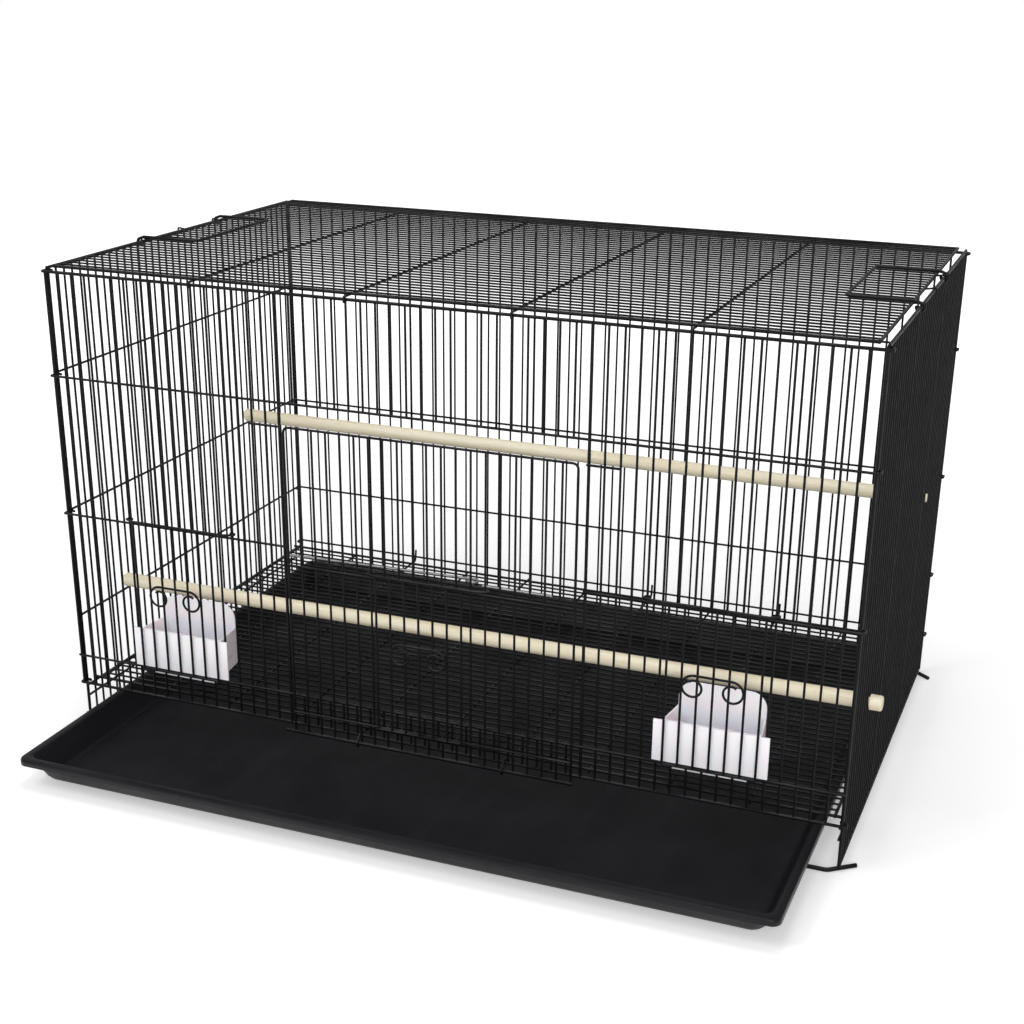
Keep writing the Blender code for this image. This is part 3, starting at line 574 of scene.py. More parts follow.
def wire_piece(name, strands, body, node, spots=(), roundness=2,
               finish=BLACK_WIRE):
    """Wires with their weld beads, standing for one CAD node."""
    mesh = wire_mesh(name, strands, roundness)
    if spots:
        weld_beads(mesh, spots)
    place_piece(name, mesh, finish, body, node, WIRE_SHARP)
    print("%s: %d wires, %d welds" % (name, len(strands), len(spots)))


print("edges over", WIRE_SHARP, "degrees stay sharp on wire")

# %% [markdown]
# ## Hooks
# Such cages fold flat for shipping. The rails of the front and rear panel end in open hooks
# that close round the side panel's end post, all but the sill rail and the short ties by the
# door. That is what makes the corner a hinge. The hook is the rail's own wire, bent out past
# the corner and back round the post. So the rail's path simply goes on as an arc, and there is
# no second mesh to join to it.

# %% The rail hook
HOOK_STEPS = 8
HOOK_TURN = 135
HOOK_BEND = 0.0022


def corner_hook(side, face, y, z, radius):
    """Path of a rail's end round the corner post; side and face are -1 or 1."""
    post = (DEPTH if face > 0 else 0) - face * CORNER_STEP
    reach = BORDER + CLEAR + radius
    turn = arc((0, 0), reach, 0, HOOK_TURN, HOOK_STEPS)
    path = [(side * HALF, y, z), (side * (HALF + reach), y, z)]
    return path + [(side * (HALF + px), post - face * py, z) for px, py in turn]


def hooked_rail(face, y, z, radius):
    """A rail across the front or rear with a hook at each end."""
    path = corner_hook(-1, face, y, z, radius)[::-1] + corner_hook(1, face, y, z, radius)
    return strand(path, radius, HOOK_BEND)


print("a hook turns %d degrees round the post" % HOOK_TURN)

# %% [markdown]
# ## The front panel
# This is the busiest piece. The uprights run from the slot wire above the tray to the top
# border. A full grid with openings cut out of it would leave ragged ends, so a rule says
# where each upright stops. At the two feeder openings they stop at a rail below and above, and
# at the door they stop at the sill rail and at the upper rail. The rails lie outside the
# uprights, and the eyes of the feeder doors stop just above one of them.

# %% Front panel openings
DOOR_FIRST, DOOR_LAST = 17, 38
FEEDER_FIRST, FEEDER_SPAN = 5, 7
FEEDER_STARTS = (FEEDER_FIRST, FRONT_GAPS - FEEDER_FIRST - FEEDER_SPAN)


def column(index):
    """Centre of a front or rear upright, counted from the left."""
    return -HALF + index * PITCH


def front_stretches(index):
    """The stretches of one upright as (low, high) pairs."""
    if DOOR_FIRST < index < DOOR_LAST:
        top = UPPER_RAIL
    elif any(first < index < first + FEEDER_SPAN for first in FEEDER_STARTS):
        top = MID_RAIL
    else:
        return [(SLOT_RAIL, FACE_TOP)]
    return [(SLOT_RAIL, SILL_RAIL + RAIL), (top - RAIL, FACE_TOP)]


print("door opening %.0f mm wide" % ((DOOR_LAST - DOOR_FIRST) * PITCH * 1000))

# %% [markdown]
# Beside the door, a short rail ties each door post to the next two uprights. The rail at half
# height has the door in it, so it is two rails, each with a hook at its outer end only.

# %% Front panel
DOOR_TIE_GAPS = 2
door_post = column(DOOR_LAST)
tie_end = column(DOOR_LAST + DOOR_TIE_GAPS)
front = []
front_welds = []
for index in range(FRONT_GAPS + 1):
    x = column(index)
    gauge = BORDER if index in (0, FRONT_GAPS, DOOR_FIRST, DOOR_LAST) else THIN
    crossings = [SILL_RAIL, UPPER_RAIL]
    if door_post - THIN < abs(x) <= tie_end:
        crossings.append(DOOR_RAIL)
    if not DOOR_FIRST < index < DOOR_LAST:
        crossings.append(MID_RAIL)
    for low, high in front_stretches(index):
        front.append(upright(x, 0, low, high, gauge))
        front_welds += [(x, -THIN, z) for z in crossings if low <= z <= high]
        front_welds += [(x, 0, z) for z in (SLOT_RAIL, FACE_TOP)]
front += [hooked_rail(-1, 0, z, BORDER) for z in (FACE_TOP, SLOT_RAIL)]
front.append(hooked_rail(-1, -LAP, UPPER_RAIL, RAIL))
front.append(side_to_side(HALF + BORDER, -LAP, SILL_RAIL, RAIL))
for side in (-1, 1):
    tie = (side * (door_post - BORDER), side * (tie_end + THIN))
    front.append(strand([(x, -LAP, DOOR_RAIL) for x in tie], RAIL))
    path = [(tie[0], -LAP, MID_RAIL)] + corner_hook(side, -1, -LAP, MID_RAIL, RAIL)
    front.append(strand(path, RAIL, HOOK_BEND))
wire_piece("front_panel_wires", front, "cage", "front_panel", front_welds)

# %% [markdown]
# ## The rear panel
# The rear is the front without openings, and it runs down to the base bar. Four of its
# uprights are heavier stays, which line up with the cross wires of the top. The same helpers
# draw it, with 1 for -1 as the face, so that its hooks close from the other side.

# %% Rear panel
TOP_BAYS = 5
rear_rails = (UPPER_RAIL, MID_RAIL, LOW_RAIL, SLOT_RAIL)
stays = [round(FRONT_GAPS * step / TOP_BAYS) for step in range(1, TOP_BAYS)]


def gauge_of(index, last, stays):
    """Radius of an upright: the outer two are borders, and some are stays."""
    if index in (0, last):
        return BORDER
    return STAY if index in stays else THIN


rear = []
rear_welds = []
for index in range(FRONT_GAPS + 1):
    x = column(index)
    rear.append(upright(x, DEPTH, FOOT_BORDER, FACE_TOP, gauge_of(index, FRONT_GAPS, stays)))
    rear_welds += [(x, DEPTH + THIN, z) for z in rear_rails]
    rear_welds += [(x, DEPTH, z) for z in (FOOT_BORDER, FACE_TOP)]
rear.append(hooked_rail(1, DEPTH, FACE_TOP, BORDER))
rear.append(side_to_side(HALF + BORDER, DEPTH, FOOT_BORDER, BORDER))
rear += [hooked_rail(1, DEPTH + LAP, z, RAIL) for z in rear_rails]
wire_piece("rear_panel_wires", rear, "cage", "rear_panel", rear_welds)

# %% [markdown]
# ## The side panels
# The side rails lie inside the uprights, so that the grille and the perches rest on them. Two
# of the uprights on each side are stays. One panel is the other mirrored, so one loop draws
# both and only the sign of X changes. A plain copy moved across would have its rails outside.

# %% Side panels
side_rails = [z + HOOK_OFFSET for z in (UPPER_RAIL, MID_RAIL, LOW_RAIL)]
side_rails += [z - HOOK_OFFSET for z in (SLOT_RAIL, GUIDE_RAIL)]
side_stays = (SIDE_GAPS // 3, SIDE_GAPS - SIDE_GAPS // 3)
side_near = CORNER_STEP - BORDER
side_far = CORNER_STEP + SIDE_GAPS * SIDE_PITCH + BORDER
for name, side in (("left", -1), ("right", 1)):
    x = side * HALF
    rail_x = side * (HALF - LAP)
    borders = (SIDE_TOP, FOOT_BORDER)
    wires = [front_to_rear(x, side_near, side_far, z, BORDER) for z in borders]
    wires += [front_to_rear(rail_x, side_near, side_far, z, RAIL) for z in side_rails]
    welds = []
    for index in range(SIDE_GAPS + 1):
        y = CORNER_STEP + index * SIDE_PITCH
        wires.append(upright(x, y, FOOT_BORDER, SIDE_TOP, gauge_of(index, SIDE_GAPS, side_stays)))
        welds += [(side * (HALF - THIN), y, z) for z in side_rails]
        welds += [(x, y, z) for z in borders[::-1]]
    wire_piece(name + "_panel_wires", wires, "cage", name + "_panel", welds)

# %% [markdown]
# ## The top
# The top is a loose grid, a little smaller than the opening. Its four cross wires hook over
# the front and rear borders, and three of the wires along its length hook over the sides. A
# hook is three points past the wire's end, and the bend between them is rounded with the rest
# of the path, so wire and hook stay one piece.

# %% Top hooks
TOP_GAPS = 40
TOP_INSET_X = 0.0080
TOP_INSET_Y = 0.0050
TOP_HOOK_STEP = 6
TOP_BEND = 0.0025
HOOK_DROP_SHARE = 0.8


def over_hook(x, y, direction, z, border_z, radius):
    """Path from above a border wire out over it and down."""
    reach = BORDER + CLEAR + radius
    dx, dy = direction
    runs = ((0, z), (reach, z), (reach, border_z - reach * HOOK_DROP_SHARE))
    return [(x + dx * run, y + dy * run, height) for run, height in runs]


print("top spacing %.2f mm" % ((DEPTH - 2 * TOP_INSET_Y) / TOP_GAPS * 1000))

# %% Top panel
top = []
top_welds = []
top_half = HALF - TOP_INSET_X
near, far = TOP_INSET_Y, DEPTH - TOP_INSET_Y
crest = SIDE_TOP + BORDER + CLEAR + TOP_WIRE
crosswise = [-HALF + WIDTH * bay / TOP_BAYS for bay in range(1, TOP_BAYS)]
hooked = [TOP_GAPS // 2 + step for step in (-TOP_HOOK_STEP, 0, TOP_HOOK_STEP)]
for index in range(TOP_GAPS + 1):
    y = near + index * (far - near) / TOP_GAPS
    path = [(-top_half, y, GRID_TOP), (top_half, y, GRID_TOP)]
    if index in hooked:
        path = over_hook(-HALF, y, (-1, 0), crest, SIDE_TOP, TOP_WIRE)[::-1] + path
        path += over_hook(HALF, y, (1, 0), crest, SIDE_TOP, TOP_WIRE)
    top.append(strand(path, BORDER if index in (0, TOP_GAPS) else TOP_WIRE, TOP_BEND))
    top_welds += [(x, y, GRID_TOP - TOP_WIRE) for x in crosswise]
    top_welds += [(x, y, GRID_TOP) for x in (-top_half, top_half)]
for x in (-top_half, top_half):
    top.append(front_to_rear(x, near - BORDER, far + BORDER, GRID_TOP, BORDER))
for x in crosswise:
    path = over_hook(x, 0, (0, -1), CROSS_TOP, FACE_TOP, RAIL)[::-1]
    path += over_hook(x, DEPTH, (0, 1), CROSS_TOP, FACE_TOP, RAIL)
    top.append(strand(path, RAIL, TOP_BEND))
wire_piece("top_panel_wires", top, "cage", "top_panel", top_welds)

# %% [markdown]
# ## The floor grille
# Rows of thin wire lie along the cage over nine cross wires, above the tray. Every second
# cross wire runs on at the rear and turns up as a tab, which stops the grille from sliding. An
# array modifier could repeat the rows, but plain loops also give the place of every weld.

# %% Grille sizes
GRILLE_GAPS = 39
GRILLE_BAYS = 10
GRILLE_Z = 0.0464
GRILLE_INSET = 0.0090
GRILLE_FRONT = 0.0164
GRILLE_REAR_GAP = 0.0223
GRILLE_REAR = DEPTH - GRILLE_REAR_GAP
GRILLE_PITCH = (GRILLE_REAR - GRILLE_FRONT) / GRILLE_GAPS
TAB_RUN = 0.0160
TAB_LEAN = 0.0020
TAB_RISE = 0.0130
TAB_BEND = 0.0030
print("grille spacing %.2f mm" % (GRILLE_PITCH * 1000))

# %% Floor grille
grille = []
grille_welds = []
grille_half = HALF - GRILLE_INSET
rows = [GRILLE_FRONT + index * GRILLE_PITCH for index in range(GRILLE_GAPS + 1)]
near, far = GRILLE_FRONT - BORDER, GRILLE_REAR + BORDER
for index, y in enumerate(rows):
    edge = index in (0, GRILLE_GAPS)
    reach = HALF - THIN - CLEAR if edge else grille_half
    grille.append(side_to_side(reach, y, GRILLE_Z, BORDER if edge else THIN))
for index in range(GRILLE_BAYS + 1):
    x = -grille_half + 2 * grille_half * index / GRILLE_BAYS
    edge = index in (0, GRILLE_BAYS)
    z = GRILLE_Z if edge else GRILLE_Z - LAP
    path = [(x, near, z), (x, far, z)]
    if index % 2 == 0 and not edge:
        run = GRILLE_REAR + TAB_RUN
        path = [path[0], (x, run, z), (x, run + TAB_LEAN, z + TAB_RISE)]
    grille.append(strand(path, BORDER if edge else RAIL, TAB_BEND))
    grille_welds += [(x, y, z + THIN) for y in rows]
wire_piece("floor_grille_wires", grille, "cage", "floor_grille", grille_welds)

# %% [markdown]
# ## Base bars
# A heavy bar runs along the foot of the front and of the rear. Each end slants inwards and out
# under the side panel, which stands on it. The bar is the thickest wire of the cage, so it gets
# a rounder section than the others.

# %% Base bars
FOOT_REACH = 0.0130
FOOT_INSET = 0.0090
FOOT_RUN = 0.0176
FOOT_BEND = 0.0080
for name, face in (("front", -1), ("rear", 1)):
    y = DEPTH if face > 0 else 0
    path = [(-HALF - FOOT_REACH, y - face * FOOT_RUN, BASE), (-HALF + FOOT_INSET, y, BASE)]
    path += [(HALF - FOOT_INSET, y, BASE), (HALF + FOOT_REACH, y - face * FOOT_RUN, BASE)]
    bar = [strand(path, BASE, FOOT_BEND)]
    wire_piece("base_bar_%s_wire" % name, bar, "cage", "base_bar_" + name, roundness=4)

# %% [markdown]
# ## Feeder doors
# Seven bars hang from a rod whose ends are eyes round two uprights of the panel, so the door
# slides straight up. A double scroll of wire is the handle. The scroll is a spiral: its radius
# shrinks evenly while its angle turns. One formula with a width, a curl and a number of turns
# is easier to match to a photograph than points drawn by hand.

# %% The scroll handle
SCROLL_WIDTH = 0.0560
SCROLL_CURL = 0.0110
SCROLL_CORE = 0.0060
SCROLL_TURNS = 1.1
SCROLL_STEPS = 26
SCROLL_HEIGHT = 0.0783


def scroll(x, y, z):
    """A double scroll with its top bar, both curls turning inwards."""
    centre = SCROLL_WIDTH / 2 - SCROLL_CURL
    curl = []
    for step in range(SCROLL_STEPS + 1):
        share = step / SCROLL_STEPS
        angle = math.pi / 2 + math.tau * SCROLL_TURNS * share
        size = SCROLL_CURL + (SCROLL_CORE - SCROLL_CURL) * share
        curl.append((-centre + size * math.cos(angle), size * math.sin(angle)))
    left = [(x + px, y, z + pz) for px, pz in curl]
    right = [(x - px, y, z + pz) for px, pz in curl]
    return strand(left[::-1] + right, THIN)


print("scroll of", 2 * SCROLL_STEPS + 2, "points")

# %% [markdown]
# The rod's ends are open eyes. From half a gap inside, the rod's wire passes in front of the
# upright, goes round its outer side and ends behind it. The door can slide, but can't fall off.

# %% The eye of a feeder rod
ROD = 0.0011
EYE_STEPS = 9
EYE_FROM, EYE_TO = 220, 20


def rod_eye(x, post_y, rod_y, turn, z):
    """A rod's end curled round the upright at x; turn is the side that it ends on."""
    curl = arc((0, post_y), THIN + CLEAR + ROD, EYE_FROM, EYE_TO, EYE_STEPS)
    return [(x - turn * PITCH / 2, rod_y, z)] + [(x - turn * px, py, z) for px, py in curl]


print("an eye takes %.0f degrees" % (EYE_FROM - EYE_TO))

# %% A feeder door
ROD_STEP = 0.0031
ROD_BEND = 0.0020
FEEDER_GAP = 0.0052


def feeder_door(name, body, start, direction, post_y, rail_z, sill_z):
    """A feeder door from the upright at start, running in that direction."""
    y = post_y - FEEDER_GAP
    top_z = rail_z + ROD_STEP
    end = start + direction * (FEEDER_SPAN + 1) * PITCH
    bars = [start + direction * (index + 0.5) * PITCH for index in range(FEEDER_SPAN)]
    wires = [upright(x, y, sill_z, top_z, THIN) for x in bars]
    rod = rod_eye(start, post_y, y, -direction, top_z)[::-1]
    rod += rod_eye(end, post_y, y, direction, top_z)
    wires.append(strand(rod, ROD, ROD_BEND))
    ends = (bars[0] - direction * ROD, bars[-1] + direction * ROD)
    wires.append(strand([(x, y, sill_z) for x in ends], ROD))
    handle_y = y - 2 * THIN + SINK
    wires.append(scroll((bars[0] + bars[-1]) / 2, handle_y, sill_z + SCROLL_HEIGHT))
    welds = [(x, y, z) for x in bars for z in (sill_z, top_z)]
    wire_piece(name + "_wires", wires, body, name, welds, roundness=3)


print("a feeder door has", FEEDER_SPAN, "bars")

# %% [markdown]
# The left and right doors hang on the front panel over the cups. The third hangs on the main
# door itself, one step lower, and rides with it.

# %% The three feeder doors
DOOR_PLANE = -0.0060
MIDDLE_FIRST = -4
MIDDLE_DROP = 0.0150
middle_sill = SILL_RAIL - MIDDLE_DROP
middle_rail = MID_RAIL - MIDDLE_DROP
for name, side in (("left", -1), ("right", 1)):
    start = side * (HALF - FEEDER_FIRST * PITCH)
    feeder_door("feeder_door_" + name, "feeder_" + name, start, -side, 0, MID_RAIL, SILL_RAIL)
start = MIDDLE_FIRST * PITCH
feeder_door("feeder_door_middle", "feeder_middle", start, 1, DOOR_PLANE, middle_rail, middle_sill)

# %% [markdown]
# ## The main door
# A round-cornered frame of rail wire holds twenty gaps of thin wire, with its own pair of
# rails round the middle feeder opening. A heavier bar runs along the foot, a little past the
# frame on the left. The frame is one path whose corners are rounded like any other bend.

# %% Main door
DOOR_HALF_GAPS = 10
DOOR_HALF = DOOR_HALF_GAPS * PITCH
DOOR_FOOT = 0.0406
DOOR_TOP = 0.3396
DOOR_CORNER = 0.0055
DOOR_FOOT_REACH = 0.0105
corners = [(-DOOR_HALF, DOOR_FOOT), (-DOOR_HALF, DOOR_TOP)]
corners += [(-x, z) for x, z in corners[::-1]]
door = [strand([(x, DOOR_PLANE, z) for x, z in corners], RAIL, DOOR_CORNER)]
foot = (-DOOR_HALF - DOOR_FOOT_REACH, DOOR_HALF + SILL)
door.append(strand([(x, DOOR_PLANE, DOOR_FOOT) for x in foot], SILL))
door_welds = []
for index in range(1 - DOOR_HALF_GAPS, DOOR_HALF_GAPS):
    x = index * PITCH
    stretches = [(DOOR_FOOT, DOOR_TOP)]
    if MIDDLE_FIRST < index < MIDDLE_FIRST + FEEDER_SPAN:
        stretches = [(DOOR_FOOT, middle_sill + RAIL), (middle_rail - RAIL, DOOR_TOP)]
    door += [upright(x, DOOR_PLANE, low, high, THIN) for low, high in stretches]
    door_welds += [(x, DOOR_PLANE - THIN, z) for z in (middle_sill, middle_rail)]
    door_welds += [(x, DOOR_PLANE, z) for z in (DOOR_FOOT, DOOR_TOP)]
door += [side_to_side(DOOR_HALF, DOOR_PLANE - LAP, z, RAIL) for z in (middle_sill, middle_rail)]
wire_piece("main_door_wires", door, "main_door", "main_door", door_welds)

# %% [markdown]
# Two loops of wire close round the slot wire of the front and the foot bar of the door: the
# door drops forward on them. A loop is two half circles, one round each of the two wires, with
# straight sides between.

# %% Door loops
LOOP_GAPS = 5.25
LOOP = 0.0010
LOOP_STEPS = 10
slot_wire = (0, SLOT_RAIL)
foot_bar = (DOOR_PLANE, DOOR_FOOT)
lean = math.degrees(math.atan2(slot_wire[1] - foot_bar[1], slot_wire[0] - foot_bar[0]))
reach = SILL + CLEAR + LOOP
outline = arc(slot_wire, reach, lean - 90, lean + 90, LOOP_STEPS)
outline += arc(foot_bar, reach, lean + 90, lean + 270, LOOP_STEPS)
for name, side in (("left", -1), ("right", 1)):
    ring = [(side * LOOP_GAPS * PITCH, y, z) for y, z in outline + outline[:1]]
    loop = [strand(ring, LOOP)]
    wire_piece("door_loop_%s_wire" % name, loop, "main_door", "door_loop_" + name)

# %% [markdown]
# ## Bails
# A carrying bail is one bent wire. Its eyes close round the top wire of a side panel, and it
# folds flat on the grid. Eye and leg are worked out once, and the same points in reverse order
# at the other end close the handle.

# %% Bails
BAIL_LENGTH = 0.0630
BAIL_GAPS = 6
BAIL_BEND = 0.0060
BAIL_Z = GRID_TOP + BORDER + CLEAR + BORDER
BAIL_EYE_FROM, BAIL_EYE_TO = -195, 90
BAIL_EYE_STEPS = 12
eye_reach = 2 * BORDER + CLEAR
eye = arc((HALF, SIDE_TOP), eye_reach, BAIL_EYE_FROM, BAIL_EYE_TO, BAIL_EYE_STEPS)
leg = eye + [(HALF - eye_reach, BAIL_Z), (HALF - BAIL_LENGTH, BAIL_Z)]
for name, side in (("left", -1), ("right", 1)):
    near, far = [DEPTH / 2 + way * BAIL_GAPS * SIDE_PITCH for way in (-1, 1)]
    path = [(side * x, near, z) for x, z in leg] + [(side * x, far, z) for x, z in leg[::-1]]
    bail = [strand(path, BORDER, BAIL_BEND)]
    wire_piece("bail_%s_wire" % name, bail, "bail_" + name, "bail_" + name, roundness=3)

# %% [markdown]
# ## Loose rods
# Two dull rods lie at the rear of the grille. The long one ends in an eye, and the short one
# lies between two rows, on the cross wires. Loose things show best where they rest, so their
# heights come from the frame's own boxes.

# %% Rods on the grille
ZINC_ROD = 0.00175
ROD_EYE = 0.0055
ROD_EYE_TURN = 275
ROD_EYE_STEPS = 11
ROD_LENGTH = 0.2400
ROD_SKEW = 0.0120
ROD_SETBACK = 0.0280
ROD_LIFT = 0.0022
rod_y = GRILLE_REAR - ROD_SETBACK
rod_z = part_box("grille_rod_long")[0].z + ROD_LIFT
rod_left = -HALF + GRILLE_INSET + ROD_EYE
rod_end = rod_left + ROD_LENGTH
eye = arc((rod_end, rod_y - ROD_EYE), ROD_EYE, 90, 90 - ROD_EYE_TURN, ROD_EYE_STEPS)[1:]
long_rod = [(rod_left, rod_y - ROD_SKEW, rod_z), (rod_end, rod_y, rod_z)]
long_rod += [(x, y, rod_z) for x, y in eye]
near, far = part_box("grille_rod_short")
middle = (near + far) / 2
short_rod = [(near.x, middle.y, middle.z), (far.x, middle.y, middle.z)]
for node, path in (("grille_rod_long", long_rod), ("grille_rod_short", short_rod)):
    rod = [strand(path, ZINC_ROD)]
    wire_piece(node + "_wire", rod, "cage", node, roundness=4, finish=ZINC)

# %% [markdown]
# ## The tray
# A moulded tray is a sheet that follows one profile all the way round: floor, flared wall,
# flat rim and a lip that turns down. So the upper skin is a stack of round-cornered loops, and
# Solidify gives the wall. The tray is longer than the cage is deep, so its front stands out
# while its floor still reaches the rear.

# %% Tray profile
TRAY_WALL = 0.0020
TRAY_RIM = 0.0080
TRAY_LIP = 0.0060
TRAY_FLARE = 0.0100
TRAY_FILLET = 0.0045
TRAY_FILLET_STEPS = 5
TRAY_CORNER = 0.0090
FLOOR_EDGE = 0.0500
FOOT_STEP = 0.0012
INNER_EDGE = ((0.0010, -0.0012), (0.0002, -0.0003), (-0.0008, 0.0))
OUTER_EDGE = ((0.0018, 0.0), (0.0006, -0.0005), (0.0, -0.0018))
tray_low, tray_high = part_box("tray")
tray_floor = tray_low.z + TRAY_WALL
tray_top = tray_high.z


def tray_profile():
    """(inset, height) pairs from the floor up the wall, over the rim and down the lip."""
    wall_foot = TRAY_RIM + TRAY_FLARE
    centre = (wall_foot + TRAY_FILLET, tray_floor + TRAY_FILLET)
    profile = [(wall_foot + FLOOR_EDGE, tray_floor)]
    profile += arc(centre, TRAY_FILLET, 270, 180, TRAY_FILLET_STEPS)[:-1]
    profile.append((wall_foot - FOOT_STEP, tray_floor + TRAY_FILLET))
    profile += [(TRAY_RIM + inset, tray_top + z) for inset, z in INNER_EDGE]
    profile += [(inset, tray_top + z) for inset, z in OUTER_EDGE]
    return profile + [(0.0, tray_top - TRAY_LIP)]


tray_size = (tray_high - tray_low) * 1000
print("tray %.0f x %.0f mm" % (tray_size.x, tray_size.y))

# %% [markdown]
# Each pair of the profile becomes a loop with the same corner radius, and each loop is joined
# to the next by a band of faces. The floor is the face that closes the first loop.

# %% Loops and skins
CORNER_STEPS = 10


def corner_loop(low, high, inset, radius, z):
    """Points of a round-cornered rectangle, anticlockwise from above."""
    margin = inset + radius
    left, right = low.x + margin, high.x - margin
    front, rear = low.y + margin, high.y - margin
    centres = ((right, rear), (left, rear), (left, front), (right, front))
    points = []
    for quarter, centre in enumerate(centres):
        points += arc(centre, radius, 90 * quarter, 90 * quarter + 90, CORNER_STEPS)
    return [(x, y, z) for x, y in points]


def mesh_from(bm, name):
    """Turn a bmesh into a mesh and free it."""
    mesh = bpy.data.meshes.new(name)
    bm.to_mesh(mesh)
    bm.free()
    return mesh


def join_rings(bm, first, second):
    """A band of faces between two rings of as many vertices."""
    for index in range(len(first)):
        after = (index + 1) % len(first)
        bm.faces.new((first[index], second[index], second[after], first[after]))


def skin_of(loops, close_last=False):
    """A mesh that joins each loop to the next and closes the first."""
    bm = bmesh.new()
    rings = [[bm.verts.new(point) for point in loop] for loop in loops]
    bm.faces.new(rings[0])
    for inside, outside in zip(rings, rings[1:]):
        join_rings(bm, inside, outside)
    if close_last:
        bm.faces.new(rings[-1])
    return mesh_from(bm, "skin")


print("a corner has", CORNER_STEPS, "steps")

# %% Tray moulding
TRAY_SHARP = 35
pairs = tray_profile()
skin = skin_of([corner_loop(tray_low, tray_high, inset, TRAY_CORNER, z) for inset, z in pairs])
tray = place_piece("tray_moulding", skin, TRAY_BLACK, "tray", "tray", TRAY_SHARP)
wall = tray.modifiers.new("wall", "SOLIDIFY")
wall.thickness = TRAY_WALL
wall.offset = -1
print("tray skin:", len(skin.polygons), "faces")

# %% [markdown]
# ## The cups
# Each cup hooks on from inside. A wide plate lies behind the door's bars, the box behind it
# tapers to the back, and a hood with round shoulders rises at the rear to keep seed in. The box
# is a stack of loops like the tray. The plates are outlines that are extruded and then softened
# with a small bevel, because a moulded edge is never sharp.

# %% Plates with round edges
PLATE_EDGE = 0.0005
BEVEL_FROM = 25
BEVEL_SEGMENTS = 2


def plate(outline, y, thickness):
    """A plate in the XZ plane with softened edges, from an outline of (x, z) pairs."""
    bm = bmesh.new()
    front = [bm.verts.new((x, y, z)) for x, z in outline]
    back = [bm.verts.new((x, y + thickness, z)) for x, z in outline]
    bm.faces.new(front)
    bm.faces.new(back[::-1])
    join_rings(bm, front, back)
    bmesh.ops.recalc_face_normals(bm, faces=bm.faces)
    edges = [edge for edge in bm.edges if edge.calc_face_angle(0) > math.radians(BEVEL_FROM)]
    bmesh.ops.bevel(bm, geom=edges, offset=PLATE_EDGE, segments=BEVEL_SEGMENTS, profile=0.5,
                    affect="EDGES", clamp_overlap=True)
    return mesh_from(bm, "plate")


print("plate edges are softened by %.1f mm" % (PLATE_EDGE * 1000))

# %% [markdown]
# The box's loops go from the inner floor up the inside, over the rim and down the outside. The
# cup's place follows from the feeder opening that it fills.

# %% Cup sizes
CUP_WALL = 0.0018
CUP_RISE = 0.0395
CUP_DEPTH = 0.0370
CUP_FRONT = -0.0016
CUP_REAR = CUP_FRONT + CUP_DEPTH
CUP_SIDE_GAP = 0.0043
CUP_PLATE_LAP = 0.0030
CUP_REAR_HALF = 0.0395
CUP_FRONT_HALF = FEEDER_SPAN * PITCH / 2 - CUP_SIDE_GAP
CUP_PLATE_HALF = FEEDER_SPAN * PITCH / 2 + CUP_PLATE_LAP
CUP_CORNER = 0.0030
CUP_FILLET = 0.0030
CUP_EDGE = 0.0006
CUP_FOOT = 0.0020
CUP_BASE = SILL_RAIL + RAIL + CLEAR
CUP_RIM = CUP_BASE + CUP_RISE
FEEDER_CENTRE = HALF - (FEEDER_FIRST + FEEDER_SPAN / 2) * PITCH
CUP_LEVELS = [
    (CUP_WALL + CUP_FILLET, CUP_BASE + CUP_WALL),
    (CUP_WALL, CUP_BASE + CUP_WALL + CUP_FILLET),
    (CUP_WALL, CUP_RIM - CUP_EDGE),
    (CUP_WALL - CUP_EDGE, CUP_RIM),
    (CUP_EDGE, CUP_RIM),
    (0.0, CUP_RIM - CUP_EDGE),
    (0.0, CUP_BASE + CUP_FOOT),
    (CUP_FOOT, CUP_BASE),
]
print("cup %.0f mm wide in front" % (CUP_FRONT_HALF * 2000))

# %% Outlines of the cup
PLATE_THICKNESS = 0.0020
HOOD_RISE = 0.0235
HOOD_SHOULDER = 0.0150
HOOD_STEPS = 6
TAB_HALF = 0.0345
TAB_DROP = 0.0065
TAB_LAP = 0.0010
TAB_FRONT = 0.0016


def taper_loop(x, inset, z):
    """A trapezium with small round corners, narrower at the rear."""
    front_half, rear_half = CUP_FRONT_HALF - inset, CUP_REAR_HALF - inset
    front, rear = CUP_FRONT + inset, CUP_REAR - inset
    corners = [(rear_half, rear), (-rear_half, rear), (-front_half, front), (front_half, front)]
    points = [(x + px, py, z) for px, py in corners]
    return bent([points[-1]] + points + [points[0]], CUP_CORNER)[1:-1]


def rectangle(x, half, low, high):
    """Outline of a plain plate."""
    return [(x - half, low), (x + half, low), (x + half, high), (x - half, high)]


def hood_outline(x):
    """Outline of the hood, with a round shoulder on each side."""
    foot, crest = CUP_BASE + CUP_FILLET, CUP_RIM + HOOD_RISE
    centre = (CUP_REAR_HALF - HOOD_SHOULDER, crest - HOOD_SHOULDER)
    half = [(CUP_REAR_HALF, foot)] + arc(centre, HOOD_SHOULDER, 0, 90, HOOD_STEPS)
    return [(x + px, z) for px, z in half] + [(x - px, z) for px, z in half[::-1]]


print("hood rises %.1f mm over the rim" % (HOOD_RISE * 1000))

